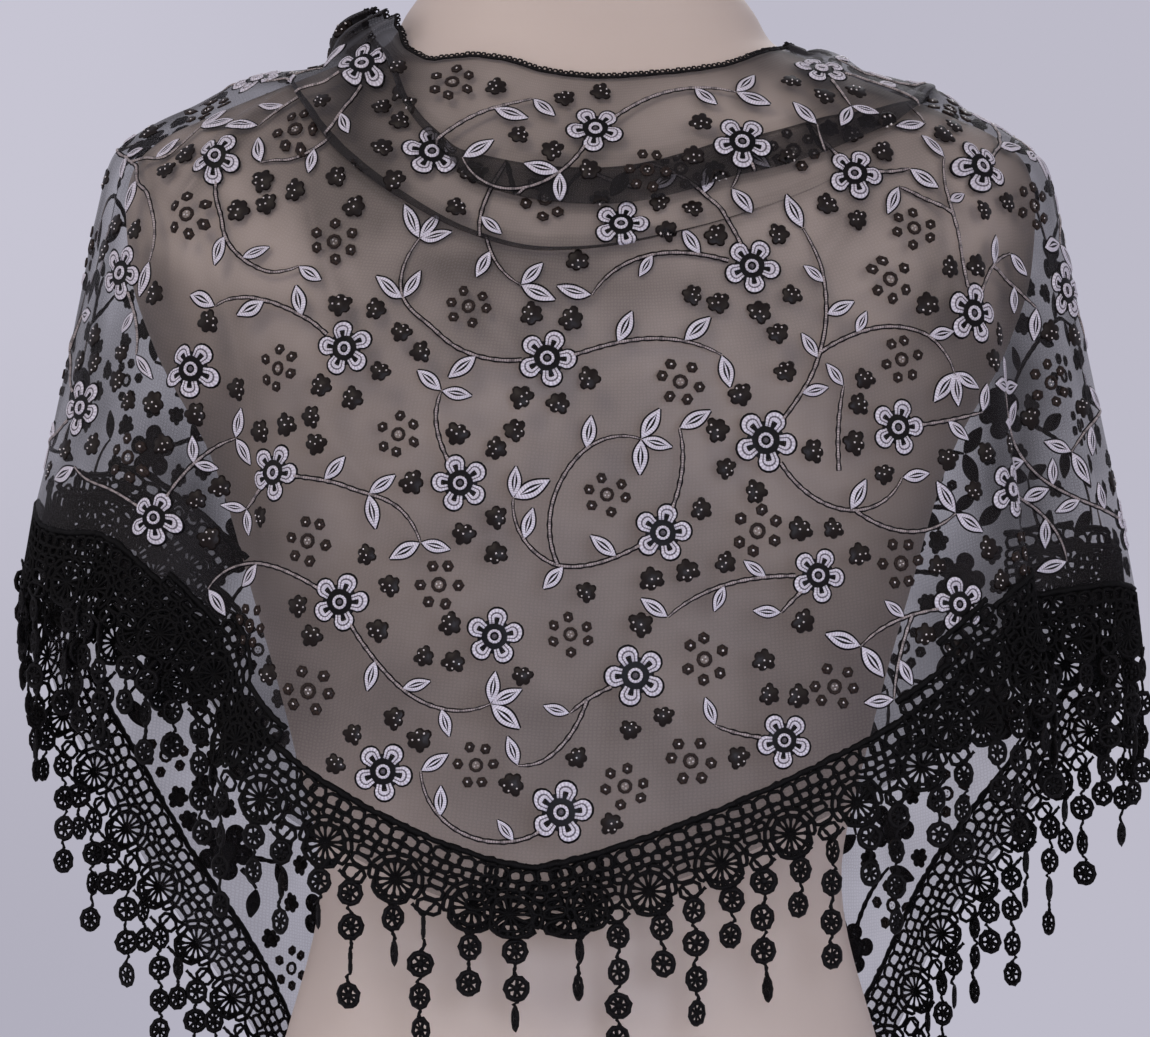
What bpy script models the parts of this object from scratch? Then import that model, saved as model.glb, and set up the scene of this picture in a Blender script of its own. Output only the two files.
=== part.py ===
"""A lace-edged chapel veil, a triangle of sheer embroidered net, laid over a limbless dress form.

The long edge of the triangle runs round the nape and down the front, its point hangs at the centre
of the back, and its two short edges carry a lace border with drop fringe. Metres, +Z up, the form's
back faces -Y, and the origin is the centre of the form's flat foot.
"""

import math
from collections import namedtuple

import bmesh
import bpy
import numpy as np

# The veil's cut and its walls.
CLOTH = 0.0012           # wall of one layer of net
CLEAR = 0.0025           # the net's middle stands this far off the form where it lies on it
LAYER = 0.0019           # from the middle of one layer to the next in a pleat
PLEAT_TURN = 0.0035      # how far the round of a crease runs past it, as a share of the ring table
SEAM = 0.0003            # each piece stops this short of a shared seam
LACE_WIDTH = 0.034
LACE_WALL = 0.0016
FRINGE_REACH = 0.060
FRINGE_WALL = 0.0020
FRINGE_SEAM = 0.0005
EDGING_WIDTH = 0.0035
EDGING_WALL = 0.0016
EDGING_GAP = 0.0003

# Where the panels join, as shares of the way round from the centre back (0) to the front edge (1).
SIDE_AT = 0.5            # the shoulder ridge and the side fold
BACK_TO_SHOULDER = 0.40
SHOULDER_TO_TAIL = 0.66

# The form, as level sections. half_width is across, back and front are depths from the middle.
Section = namedtuple("Section", "height half_width back front")
FORM = (
    Section(0.000, 0.150, 0.110, 0.100),
    Section(0.060, 0.158, 0.118, 0.104),
    Section(0.120, 0.154, 0.114, 0.103),
    Section(0.190, 0.136, 0.095, 0.094),
    Section(0.270, 0.118, 0.076, 0.086),
    Section(0.330, 0.130, 0.083, 0.090),
    Section(0.400, 0.149, 0.096, 0.098),
    Section(0.460, 0.167, 0.106, 0.102),
    Section(0.510, 0.193, 0.109, 0.097),
    Section(0.545, 0.204, 0.105, 0.087),
    Section(0.575, 0.206, 0.096, 0.075),
    Section(0.592, 0.202, 0.088, 0.066),
    Section(0.604, 0.190, 0.081, 0.060),
    Section(0.615, 0.167, 0.075, 0.056),
    Section(0.626, 0.140, 0.069, 0.053),
    Section(0.637, 0.112, 0.064, 0.052),
    Section(0.648, 0.087, 0.060, 0.052),
    Section(0.661, 0.079, 0.057, 0.052),
    Section(0.680, 0.066, 0.055, 0.052),
    Section(0.705, 0.058, 0.053, 0.052),
    Section(0.735, 0.056, 0.051, 0.051),
    Section(0.744, 0.051, 0.046, 0.046),
    Section(0.748, 0.041, 0.036, 0.036),
)
SQUARENESS = 2.25        # 2 is an ellipse
BUST = dict(height=0.455, half_width=0.125, rise=0.062, depth=0.024)
FORM_RINGS = 46
FORM_SIDES = 40

# The veil, as rings from the neckline (share 0) to the top of the lace (share 1). Each ring runs from
# the centre back, round the shoulder or side, to the front edge of the tail. swing is how slowly it
# rises from its lowest point.
Ring = namedtuple("Ring", "share back_x back_y back_z side_x side_z end_x end_y end_z swing")
RINGS = (
    Ring(0.00, 0.006, -0.062, 0.629, 0.097, 0.6465, 0.080, 0.034, 0.634, 1.55),
    Ring(0.12, 0.004, -0.079, 0.598, 0.126, 0.6345, 0.081, 0.062, 0.588, 1.9),
    Ring(0.25, 0.000, -0.100, 0.556, 0.158, 0.6245, 0.081, 0.092, 0.532, 2.0),
    Ring(0.40, -0.003, -0.117, 0.503, 0.195, 0.6075, 0.079, 0.126, 0.460, 1.7),
    Ring(0.47, -0.005, -0.122, 0.477, 0.208, 0.5910, 0.077, 0.134, 0.424, 1.6),
    Ring(0.55, -0.008, -0.127, 0.449, 0.216, 0.5710, 0.075, 0.141, 0.385, 1.5),
    Ring(0.75, -0.014, -0.132, 0.374, 0.2275, 0.5100, 0.068, 0.141, 0.270, 1.3),
    Ring(1.00, -0.021, -0.135, 0.283, 0.246, 0.4220, 0.058, 0.136, 0.112, 1.25),
)
TILT = 0.080             # the veil hangs this much higher on its left, per metre across
LEFT_TAIL_DROP = 0.50    # the left tail and the left of the back hang lower between side and middle
LEFT_BACK_DROP = 0.30

# Soft folds down the sides and the tails. depth is out from the body, spread is a share of the way round.
Fold = namedtuple("Fold", "around spread depth start")
FOLDS = (
    Fold(-0.82, 0.050, -0.013, 0.20),
    Fold(-0.66, 0.055, 0.010, 0.30),
    Fold(-0.40, 0.050, 0.005, 0.30),
    Fold(-0.235, 0.042, -0.019, 0.28),
    Fold(0.36, 0.036, -0.020, 0.28),
    Fold(0.45, 0.035, 0.006, 0.30),
    Fold(0.62, 0.050, 0.011, 0.30),
    Fold(0.79, 0.055, -0.012, 0.20),
)
# The hem rides higher beside each side fold.
Lift = namedtuple("Lift", "around spread rise")
LIFTS = (
    Lift(-0.30, 0.060, 0.024),
    Lift(-0.14, 0.070, -0.002),
    Lift(0.31, 0.070, 0.018),
    Lift(0.41, 0.040, 0.006),
)
# Rolls of gathered net that stand up off the shoulders and run over them from back to front.
# A blunt one has a flat top and steep sides.
Roll = namedtuple("Roll", "across half_width behind half_length rise blunt")
ROLLS = (
    Roll(-0.146, 0.032, -0.004, 0.060, 0.0050, 2.0),
    Roll(-0.090, 0.0260, -0.010, 0.058, 0.0145, 4.0),
    Roll(0.093, 0.018, -0.020, 0.046, -0.0025, 2.0),
    Roll(0.113, 0.014, -0.004, 0.052, 0.0045, 3.0),
    Roll(0.162, 0.013, -0.008, 0.052, 0.0040, 2.0),
)

# The two pleats of the cowl below the nape: where each crease lies, and how deep the pleat is there.
Crease = namedtuple("Crease", "around share depth")
UPPER_PLEAT = (
    Crease(-0.40, 0.110, 0.010),
    Crease(-0.26, 0.125, 0.012),
    Crease(-0.17, 0.170, 0.016),
    Crease(-0.10, 0.205, 0.036),
    Crease(0.00, 0.217, 0.044),
    Crease(0.12, 0.214, 0.049),
    Crease(0.26, 0.244, 0.052),
    Crease(0.40, 0.262, 0.020),
)
LOWER_PLEAT = (
    Crease(-0.40, 0.185, 0.012),
    Crease(-0.26, 0.228, 0.014),
    Crease(-0.10, 0.267, 0.018),
    Crease(0.04, 0.272, 0.012),
    Crease(0.20, 0.284, 0.010),
    Crease(0.40, 0.312, 0.010),
)


def smooth(rows, column, at):
    """One column of a table at any value of its first, along a curve that never overshoots a row."""
    x = np.array([row[0] for row in rows])
    y = np.array([getattr(row, column) for row in rows])
    step, slope = np.diff(x), np.diff(y) / np.diff(x)
    before, after = slope[:-1], slope[1:]
    near, far = 2 * step[1:] + step[:-1], step[1:] + 2 * step[:-1]
    same = before * after > 0
    safe_before, safe_after = np.where(same, before, 1.0), np.where(same, after, 1.0)
    middle = np.where(same, (near + far) / (near / safe_before + far / safe_after), 0.0)
    lean = np.concatenate([slope[:1], middle, slope[-1:]])
    k = np.clip(np.searchsorted(x, at, side="right") - 1, 0, len(step) - 1)
    t = (np.asarray(at) - x[k]) / step[k]
    return (
        y[k] * (2 * t**3 - 3 * t**2 + 1) + y[k + 1] * (3 * t**2 - 2 * t**3)
        + step[k] * (lean[k] * (t**3 - 2 * t**2 + t) + lean[k + 1] * (t**3 - t**2))
    )


def ramp(t):
    t = np.clip(t, 0, 1)
    return t * t * (3 - 2 * t)


def form_depth(x, y, z):
    """How deep the form is at this height, on the side of the middle that y is on."""
    swell = -((x / BUST["half_width"]) ** 4) - ((z - BUST["height"]) / BUST["rise"]) ** 2
    front = smooth(FORM, "front", z) + BUST["depth"] * np.exp(swell)
    return np.where(y < 0, smooth(FORM, "back", z), front)


def form_reach(point):
    """1 on the form's surface, less inside it, more outside."""
    x, y, z = point[..., 0], point[..., 1], np.clip(point[..., 2], 0, FORM[-1].height)
    across = np.abs(x) / smooth(FORM, "half_width", z)
    along = np.abs(y) / form_depth(x, y, z)
    return (across**SQUARENESS + along**SQUARENESS) ** (1 / SQUARENESS)


def clear_of_form(point, gap):
    """Moves points that come nearer to the form than gap straight out to it."""
    nudge = 0.0004
    for _ in range(6):
        reach = form_reach(point)
        lean = np.stack(
            [(form_reach(point + nudge * axis) - reach) / nudge for axis in np.eye(3)], axis=-1
        )
        steep = np.linalg.norm(lean, axis=-1)
        short = gap - (reach - 1) / steep
        point = point + np.where(short > 0, short / steep, 0)[..., None] * lean
    return point


def ring_point(around, share):
    """The veil before its folds: around runs from -1 to 1, share from the neckline to the lace."""
    at = {c: smooth(RINGS, c, share) for c in Ring._fields[1:]}
    hand, turn = np.sign(around), np.abs(around)
    behind = turn < SIDE_AT
    angle = np.where(behind, turn / SIDE_AT, (1 - turn) / (1 - SIDE_AT)) * math.pi / 2
    out, inward = np.sin(np.clip(angle, 0, math.pi / 2)), np.cos(angle)
    drop = np.where(hand < 0, np.where(behind, LEFT_BACK_DROP, LEFT_TAIL_DROP), 0)
    rise = out ** (at["swing"] * (1 + drop * share))
    x_back = at["back_x"] + (hand * at["side_x"] - at["back_x"]) * out
    x_front = hand * (at["end_x"] + (at["side_x"] - at["end_x"]) * out)
    x = np.where(behind, x_back, x_front)
    y = np.where(behind, at["back_y"], at["end_y"]) * inward
    low = np.where(behind, at["back_z"], at["end_z"])
    z = low + (at["side_z"] - low) * rise - TILT * x * share**3
    z = z + sum(f.rise * np.exp(-(((around - f.around) / f.spread) ** 2)) for f in LIFTS) * share**2
    return np.stack([x, y, z], axis=-1)


def drape(around, share):
    """The veil's middle surface, with its folds and its rolls on the shoulders, clear of the form."""
    around, share = np.broadcast_arrays(np.asarray(around, float), np.asarray(share, float))
    point = ring_point(around, share)
    out = sum(
        f.depth * np.exp(-(((around - f.around) / f.spread) ** 2))
        * ramp((share - f.start) / (1 - f.start))
        for f in FOLDS
    )
    level = point[..., :2] / np.linalg.norm(point[..., :2], axis=-1, keepdims=True)
    point[..., :2] += level * out[..., None]
    point = clear_of_form(point, CLEAR)
    x, y, on_top = point[..., 0], point[..., 1], ramp((point[..., 2] - 0.54) / 0.05)
    for roll in ROLLS:
        across = 1 - np.clip(np.abs(x - roll.across) / roll.half_width, 0, 1) ** roll.blunt
        along = np.clip((y - roll.behind) / roll.half_length, -1, 1) * math.pi / 2
        point[..., 2] += roll.rise * across**2 * np.cos(along) ** 2 * on_top
    return clear_of_form(point, CLEAR)


def outward(around, share):
    """The drape's unit normal, away from the body."""
    step = 0.002
    along = drape(around + step, share) - drape(around - step, share)
    down = drape(around, share + step) - drape(around, np.maximum(share - step, 0))
    normal = np.cross(down, along)
    return normal / np.linalg.norm(normal, axis=-1, keepdims=True)


def on_drape(around, share, lift):
    return drape(around, share) + outward(around, share) * np.asarray(lift)[..., None]


def even(first, last, count):
    return np.linspace(first, last, count + 1)


def new_collection(name):
    made = bpy.data.collections.new(name)
    bpy.context.scene.collection.children.link(made)
    return made


def material(name, colour, roughness):
    made = bpy.data.materials.new(name)
    made.use_nodes = True
    shader = made.node_tree.nodes["Principled BSDF"]
    shader.inputs["Base Color"].default_value = (*colour, 1)
    shader.inputs["Roughness"].default_value = roughness
    made.diffuse_color = (*colour, 1)
    return made


def grid_object(name, grid, finish, collection, closed=False):
    """An open surface through rows of points. closed joins each row's ends."""
    rows, columns = grid.shape[:2]
    mesh = bmesh.new()
    points = [[mesh.verts.new(p) for p in row] for row in grid]
    for i in range(rows - 1):
        for j in range(columns - (not closed)):
            k = (j + 1) % columns
            mesh.faces.new((points[i][j], points[i + 1][j], points[i + 1][k], points[i][k]))
    if closed:
        mesh.faces.new(points[0])
        mesh.faces.new(points[-1][::-1])
        bmesh.ops.recalc_face_normals(mesh, faces=mesh.faces)
    data = bpy.data.meshes.new(name)
    mesh.to_mesh(data)
    mesh.free()
    data.materials.append(finish)
    data.shade_smooth()
    made = bpy.data.objects.new(name, data)
    collection.objects.link(made)
    return made


def thicken(made, thickness):
    """A wall of this thickness, half each side of the open surface."""
    solid = made.modifiers.new("wall", "SOLIDIFY")
    solid.thickness = thickness
    solid.offset = 0
    solid.use_even_offset = True


def inset(grid, gap):
    """Draws the four edges of a grid of points in by gap, for the seams."""
    grid = grid.copy()
    for line in (grid, grid.swapaxes(0, 1)):
        for edge, inner in ((0, 1), (-1, -2)):
            way = line[inner] - line[edge]
            line[edge] += gap * way / np.linalg.norm(way, axis=-1, keepdims=True)
    return grid


def panel(name, first, last, columns, paths, finish, collection):
    """A stretch of cloth. paths gives the shares and the lifts of its rows at each place round."""
    around = even(first, last, columns)
    share, lift = paths(around)
    grid = on_drape(np.broadcast_to(around, share.shape), share, lift)
    made = grid_object(name, inset(grid, SEAM), finish, collection)
    thicken(made, CLOTH)
    return made


def plain_paths(rows):
    """Rows from the neckline to the lace, lying on the drape."""
    def paths(around):
        share = np.repeat(even(0, 1, rows)[:, None], len(around), axis=1)
        return share, np.zeros_like(share)
    return paths


def upper_cowl_paths(around):
    """From the neckline down to the first crease, then turned under and back up by the pleat's depth."""
    crease, depth = smooth(UPPER_PLEAT, "share", around), smooth(UPPER_PLEAT, "depth", around)
    over = crease * np.array([0, 0.25, 0.5, 0.75, 0.92])[:, None]
    under = [crease + PLEAT_TURN, crease + PLEAT_TURN, crease * 0.96, crease - depth]
    share = np.vstack([over, under])
    layers = np.array([0, 0.52, 1.48, 2, 2, 1.85, 1.15, 1, 1])[:, None]
    return share, LAYER * layers * np.ones_like(share)


def lower_cowl_paths(around):
    """From behind the first pleat down over the top of the second."""
    upper = smooth(UPPER_PLEAT, "share", around) - smooth(UPPER_PLEAT, "depth", around)
    crease = smooth(LOWER_PLEAT, "share", around)
    down = even(0, 1, 6)[:, None]
    share = upper + (crease - upper) * down
    start = (crease - smooth(LOWER_PLEAT, "depth", around) - upper) / (crease - upper)
    lift = LAYER * ramp((down - start + 0.35) / 0.35)
    return share, lift


def back_paths(around):
    """From behind the second pleat down to the lace."""
    top = smooth(LOWER_PLEAT, "share", around) - smooth(LOWER_PLEAT, "depth", around)
    down = even(0, 1, 13)[:, None]
    share = top + (1 - top) * down
    return share, np.zeros_like(share)


def square_to(along, way):
    """The unit vector nearest to way that is square to along."""
    along = along / np.linalg.norm(along, axis=-1, keepdims=True)
    way = way - along * np.sum(way * along, axis=-1, keepdims=True)
    return way / np.linalg.norm(way, axis=-1, keepdims=True)


def hem_frame(around):
    """Points along the foot of the net, and the way that the lace runs on from it."""
    step = 0.004
    hem = drape(around, np.ones_like(around))
    along = drape(np.clip(around + step, -1, 1), np.ones_like(around)) - drape(
        np.clip(around - step, -1, 1), np.ones_like(around)
    )
    return hem, square_to(along, hem - drape(around, np.full_like(around, 1 - step)))


def lace_run(name, first, last, columns, finish, collection):
    around = even(first, last, columns)
    hem, down = hem_frame(around)
    grid = np.stack([hem + down * LACE_WIDTH * t for t in (0, 0.5, 1)])
    made = grid_object(name, inset(grid, SEAM), finish, collection)
    thicken(made, LACE_WALL)
    return made


def fringe_run(name, first, last, columns, finish, collection):
    """A plain hanging wall of the fringe's reach."""
    around = even(first, last, columns)
    hem, down = hem_frame(around)
    top = hem + down * (LACE_WIDTH + SEAM)
    grid = np.stack([top - [0, 0, 0.0006], top - [0, 0, FRINGE_REACH]])
    made = grid_object(name, inset(grid, FRINGE_SEAM), finish, collection)
    thicken(made, FRINGE_WALL)
    return made


def edging_run(name, around, share, finish, collection):
    """The narrow trim on the long edge: round the nape with share 0, or down a tail with around +-1."""
    edge = drape(around, share)
    if np.ptp(around) > 0:
        inner = drape(around, share + 0.02)
    else:
        inner = drape(around * 0.99, share)
    along = np.gradient(edge, axis=0)
    off = square_to(along, edge - inner)
    grid = np.stack([edge + off * (EDGING_WIDTH + EDGING_GAP), edge + off * EDGING_GAP])
    grid = clear_of_form(grid, CLEAR)
    made = grid_object(name, inset(grid, SEAM), finish, collection)
    thicken(made, EDGING_WALL)
    return made


def dress_form(finish, collection):
    height = even(0, 1, FORM_RINGS)
    rows = np.array([row.height for row in FORM])
    height = np.interp(height * (len(rows) - 1), np.arange(len(rows)), rows)
    angle = even(0, 2 * math.pi, FORM_SIDES)[:-1]
    z, turn = height[:, None] + 0 * angle, angle + 0 * height[:, None]
    corner = 2 / SQUARENESS
    x = smooth(FORM, "half_width", z) * np.sign(np.sin(turn)) * np.abs(np.sin(turn)) ** corner
    side = -np.cos(turn)
    y = form_depth(x, side, z) * np.sign(side) * np.abs(side) ** corner
    return grid_object("dress_form", np.stack([x, y, z], axis=-1), finish, collection, closed=True)


def main():
    for old in list(bpy.data.objects):
        bpy.data.objects.remove(old)
    net = material("black_net", (0.020, 0.018, 0.021), 0.75)
    thread = material("black_thread", (0.008, 0.008, 0.009), 0.80)
    plastic = material("cream_plastic", (0.62, 0.53, 0.48), 0.45)
    support = new_collection("dress_form")
    veil = new_collection("chapel_veil")

    dress_form(plastic, support)
    panel("cowl_upper", -BACK_TO_SHOULDER, BACK_TO_SHOULDER, 20, upper_cowl_paths, net, veil)
    panel("cowl_lower", -BACK_TO_SHOULDER, BACK_TO_SHOULDER, 20, lower_cowl_paths, net, veil)
    panel("back_panel", -BACK_TO_SHOULDER, BACK_TO_SHOULDER, 26, back_paths, net, veil)
    for hand, side in ((-1, "left"), (1, "right")):
        shoulder = sorted((hand * BACK_TO_SHOULDER, hand * SHOULDER_TO_TAIL))
        tail = sorted((hand * SHOULDER_TO_TAIL, hand * 1.0))
        back = sorted((0.0, hand * BACK_TO_SHOULDER))
        panel("shoulder_" + side, *shoulder, 10, plain_paths(16), net, veil)
        panel("tail_" + side, *tail, 11, plain_paths(16), net, veil)
        for name, run, columns in (("back", back, 13), ("side", shoulder, 10), ("tail", tail, 11)):
            lace_run(f"lace_{name}_{side}", *run, columns, thread, veil)
            fringe_run(f"fringe_{name}_{side}", *run, columns, thread, veil)
        down = even(0, 1, 16)
        edging_run("edging_tail_" + side, np.full_like(down, hand), down, thread, veil)
    nape = even(-1, 1, 44)
    edging_run("edging_nape", nape, np.zeros_like(nape), thread, veil)


main()
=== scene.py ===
import math
from collections import namedtuple

import bmesh
import bpy
import numpy as np
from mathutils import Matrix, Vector


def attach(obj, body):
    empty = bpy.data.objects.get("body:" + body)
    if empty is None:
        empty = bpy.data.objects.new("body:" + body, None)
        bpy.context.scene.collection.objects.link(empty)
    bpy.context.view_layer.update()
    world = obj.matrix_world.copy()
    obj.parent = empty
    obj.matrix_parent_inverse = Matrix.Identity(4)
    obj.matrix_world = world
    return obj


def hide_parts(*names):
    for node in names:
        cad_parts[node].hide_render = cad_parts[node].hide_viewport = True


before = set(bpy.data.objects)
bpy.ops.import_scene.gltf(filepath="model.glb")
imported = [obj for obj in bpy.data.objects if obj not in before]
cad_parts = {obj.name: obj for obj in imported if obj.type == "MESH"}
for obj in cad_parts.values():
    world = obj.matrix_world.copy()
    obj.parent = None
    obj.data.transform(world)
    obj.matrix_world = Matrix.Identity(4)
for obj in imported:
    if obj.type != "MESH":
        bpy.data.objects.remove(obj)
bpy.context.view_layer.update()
scene = bpy.context.scene
millimetre = 0.001
rng = np.random.default_rng(4127)


def table(columns, *rows):  # rows with named columns
    row = namedtuple("row", columns)
    return [row(*values) for values in rows]


# The form's rounded sections from the foot to the top of the neck.
formSections = table(
    "height halfWidth back front",
    (0, 0.15, 0.11, 0.1), (0.06, 0.158, 0.118, 0.104), (0.12, 0.154, 0.114, 0.103),
    (0.19, 0.136, 0.095, 0.094), (0.27, 0.118, 0.076, 0.086), (0.33, 0.13, 0.083, 0.09),
    (0.4, 0.149, 0.096, 0.098), (0.46, 0.167, 0.106, 0.102), (0.51, 0.193, 0.109, 0.097),
    (0.545, 0.204, 0.105, 0.087), (0.575, 0.206, 0.096, 0.075), (0.592, 0.202, 0.088, 0.066),
    (0.604, 0.19, 0.081, 0.06), (0.615, 0.167, 0.075, 0.056), (0.626, 0.14, 0.069, 0.053),
    (0.637, 0.112, 0.064, 0.052), (0.648, 0.087, 0.06, 0.052), (0.661, 0.079, 0.057, 0.052),
    (0.68, 0.066, 0.055, 0.052), (0.705, 0.058, 0.053, 0.052), (0.735, 0.056, 0.051, 0.051),
    (0.744, 0.051, 0.046, 0.046), (0.748, 0.041, 0.036, 0.036),
)
form = dict(squareness=2.25, rings=150, sides=112,
            bustHeight=0.455, bustHalfWidth=0.125, bustRise=0.062, bustDepth=0.024)

# Rings of the veil from the neckline (share 0) to the top of the lace (share 1), each from the centre
# back round the side to the front edge of the tail.
rings = table(
    "share backX backY backZ sideX sideZ endX endY endZ swing",
    (0, 0.006, -0.062, 0.629, 0.097, 0.6465, 0.08, 0.034, 0.634, 1.55),
    (0.12, 0.004, -0.079, 0.598, 0.126, 0.6345, 0.081, 0.062, 0.588, 1.9),
    (0.25, 0, -0.1, 0.556, 0.158, 0.6245, 0.081, 0.092, 0.532, 2),
    (0.4, -0.003, -0.117, 0.503, 0.195, 0.6075, 0.079, 0.126, 0.46, 1.7),
    (0.47, -0.005, -0.122, 0.477, 0.21, 0.594, 0.077, 0.134, 0.424, 1.6),
    (0.55, -0.008, -0.127, 0.449, 0.216, 0.571, 0.075, 0.141, 0.385, 1.5),
    (0.75, -0.014, -0.132, 0.374, 0.2275, 0.51, 0.068, 0.141, 0.27, 1.3),
    (1, -0.021, -0.135, 0.283, 0.246, 0.422, 0.058, 0.136, 0.112, 1.25),
)
# Long folds down the sides and the tails, outwards or inwards.
folds = table(
    "around spread depth start",
    (-0.82, 0.05, -0.013, 0.2), (-0.66, 0.055, 0.01, 0.3), (-0.4, 0.05, 0.005, 0.3),
    (-0.235, 0.042, -0.019, 0.28), (0.36, 0.036, -0.02, 0.28), (0.45, 0.035, 0.006, 0.3),
    (0.62, 0.05, 0.011, 0.3), (0.79, 0.055, -0.012, 0.2),
)
# Rolls of cloth bunched on the shoulders; a blunt one has a flat top and steep sides.
rolls = table(
    "across halfWidth behind halfLength rise blunt swell",
    (-0.146, 0.032, -0.004, 0.06, 0.005, 2, 0), (-0.0895, 0.0245, -0.01, 0.058, 0.0145, 5, 0.3),
    (0.093, 0.018, -0.004, 0.052, -0.0035, 2, 0), (0.113, 0.014, -0.004, 0.052, 0.0045, 3, 0),
    (0.162, 0.013, -0.008, 0.052, 0.004, 2, 0),
)
# Accordion folds where the cloth is gathered, and long soft creases across it.
gathers = table(
    "around halfWidth reach pitch swing lift",
    (-0.375, 0.105, 0.105, 0.037, 0.0092, 0.0022), (0.4, 0.055, 0.09, 0.027, 0.006, 0.0014),
)
softCreases = table(
    "fromAround fromShare toAround toShare width height",
    (-0.318, 0.106, -0.212, 0.234, 0.0045, 0.0024), (-0.266, 0.068, -0.178, 0.154, 0.0045, 0.0024),
    (-0.05, 0.34, 0.1, 0.33, 0.006, 0.002), (0.06, 0.46, 0.2, 0.56, 0.007, 0.0018),
    (-0.22, 0.52, -0.06, 0.7, 0.007, 0.002), (-0.11, 0.3, -0.02, 0.43, 0.006, 0.002),
    (-0.26, 0.27, -0.13, 0.5, 0.004, 0.0022), (-0.13, 0.5, 0.02, 0.52, 0.005, 0.0016),
    (0.3, 0.26, 0.14, 0.43, 0.006, 0.0018), (0.33, 0.3, 0.24, 0.62, 0.006, 0.0022),
    (-0.36, 0.18, -0.31, 0.52, 0.005, 0.0026), (-0.29, 0.4, -0.19, 0.86, 0.006, 0.002),
    (0.02, 0.62, 0.18, 0.86, 0.007, 0.0014), (-0.47, 0.2, -0.45, 0.95, 0.006, 0.003),
    (0.52, 0.16, 0.54, 0.95, 0.006, 0.003), (-0.56, 0.25, -0.57, 0.98, 0.005, 0.0034),
    (0.69, 0.3, 0.68, 0.98, 0.006, 0.0034), (-0.74, 0.2, -0.73, 0.96, 0.006, 0.003),
    (0.88, 0.2, 0.89, 0.92, 0.006, 0.0028), (-0.9, 0.26, -0.91, 0.94, 0.006, 0.0028),
)
# Spots where the net is drawn darker, partly where it is pinched together and partly as painted shade below
# the shoulder puff and down the side folds; where "much" is below zero it is drawn lighter, as painted
# light on the form beneath.
pinchShadeAndLightSpots = table(
    "x z wide high much",
    (-0.1015, 0.62, 0.013, 0.018, 2), (-0.094, 0.6, 0.012, 0.014, 1), (-0.079, 0.622, 0.012, 0.014, 1),
    (-0.118, 0.575, 0.03, 0.02, 0.5), (0.045, 0.64, 0.06, 0.01, 0.5), (0.135, 0.628, 0.016, 0.008, 1.2),
    (-0.048, 0.543, 0.035, 0.009, 0.7), (0.095, 0.45, 0.05, 0.045, -0.4),
    (-0.155, 0.545, 0.035, 0.03, -0.4), (0.115, 0.54, 0.04, 0.04, -0.2),
    (-0.11, 0.455, 0.05, 0.045, -0.5), (-0.18, 0.42, 0.028, 0.04, 1.8), (-0.125, 0.35, 0.028, 0.03, 0.9),
    (0.197, 0.46, 0.01, 0.08, 2.2), (0.178, 0.385, 0.028, 0.04, 1.4), (0.215, 0.5, 0.03, 0.07, 0.6),
    (0.13, 0.34, 0.022, 0.026, 0.8), (0.06, 0.638, 0.04, 0.009, 1.1), (-0.088, 0.568, 0.03, 0.02, 1),
    (-0.025, 0.54, 0.05, 0.014, 0.6), (-0.045, 0.6, 0.025, 0.014, 0.6), (-0.172, 0.56, 0.022, 0.04, -0.5),
    (-0.108, 0.65, 0.014, 0.01, 2.5), (0.085, 0.6, 0.025, 0.015, -0.5), (0.172, 0.57, 0.022, 0.035, -0.5),
    (0.01, 0.355, 0.11, 0.035, 0.3),
)
# Where each cowl pleat's crease lies and how deep the pleat is there.
upperPleat = table(
    "around share depth",
    (-0.34, 0.045, 0), (-0.28, 0.062, 0.006), (-0.25, 0.084, 0.01), (-0.2, 0.136, 0.012),
    (-0.14, 0.178, 0.015), (-0.1, 0.205, 0.036), (-0.03, 0.214, 0.043), (0.04, 0.217, 0.046),
    (0.13, 0.214, 0.05), (0.19, 0.227, 0.052), (0.25, 0.243, 0.054), (0.33, 0.266, 0.034),
    (0.42, 0.262, 0.008), (0.56, 0.262, 0),
)
lowerPleat = table(
    "around share depth",
    (-0.42, 0.15, 0), (-0.3, 0.208, 0.01), (-0.25, 0.231, 0.0115), (-0.16, 0.253, 0.009),
    (-0.1, 0.267, 0.006), (-0.04, 0.275, 0.0055), (0, 0.272, 0.005), (0.08, 0.266, 0.0045),
    (0.14, 0.268, 0.004), (0.25, 0.28, 0.002), (0.33, 0.302, 0), (0.56, 0.32, 0),
)
# Where the long edge starts, as a share of the ring table, so that it dips and rises round the nape.
napeEdge = table(
    "around share",
    (-1, 0), (-0.34, 0), (-0.29, 0.018), (-0.26, 0.034), (-0.23, 0.034), (-0.2, 0.02), (-0.16, 0.003),
    (-0.12, 0.001), (-0.07, 0.011), (0, 0.016), (0.07, 0.019), (0.155, 0.028), (0.2, 0.032),
    (0.26, 0.025), (0.36, 0.006), (0.45, 0), (1, 0),
)
# Where the hem rides higher, or a little lower.
hemLifts = table(
    "around spread rise",
    (-0.3, 0.06, 0.024), (-0.14, 0.07, -0.002), (0.31, 0.07, 0.018), (0.41, 0.04, 0.006),
)
cloth = dict(columns=430, rowsAbove=20, rowsUpper=36, rowsBetween=8, rowsLower=22, rowsBelow=108,
             sideAt=0.5, clear=0.0016, tilt=0.080, leftTailDrop=0.50, leftBackDrop=0.30, layer=0.0021,
             pleatMargin=0.009, pleatTurn=0.006, alongRow=0.46, alongColumn=0.42, puffX=-0.092, puffZ=0.634,
             behindLace=(0.004, 0.009, 0.014, 0.019, 0.023), laceFullness=1.5, laceInset=0.0012)

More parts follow.
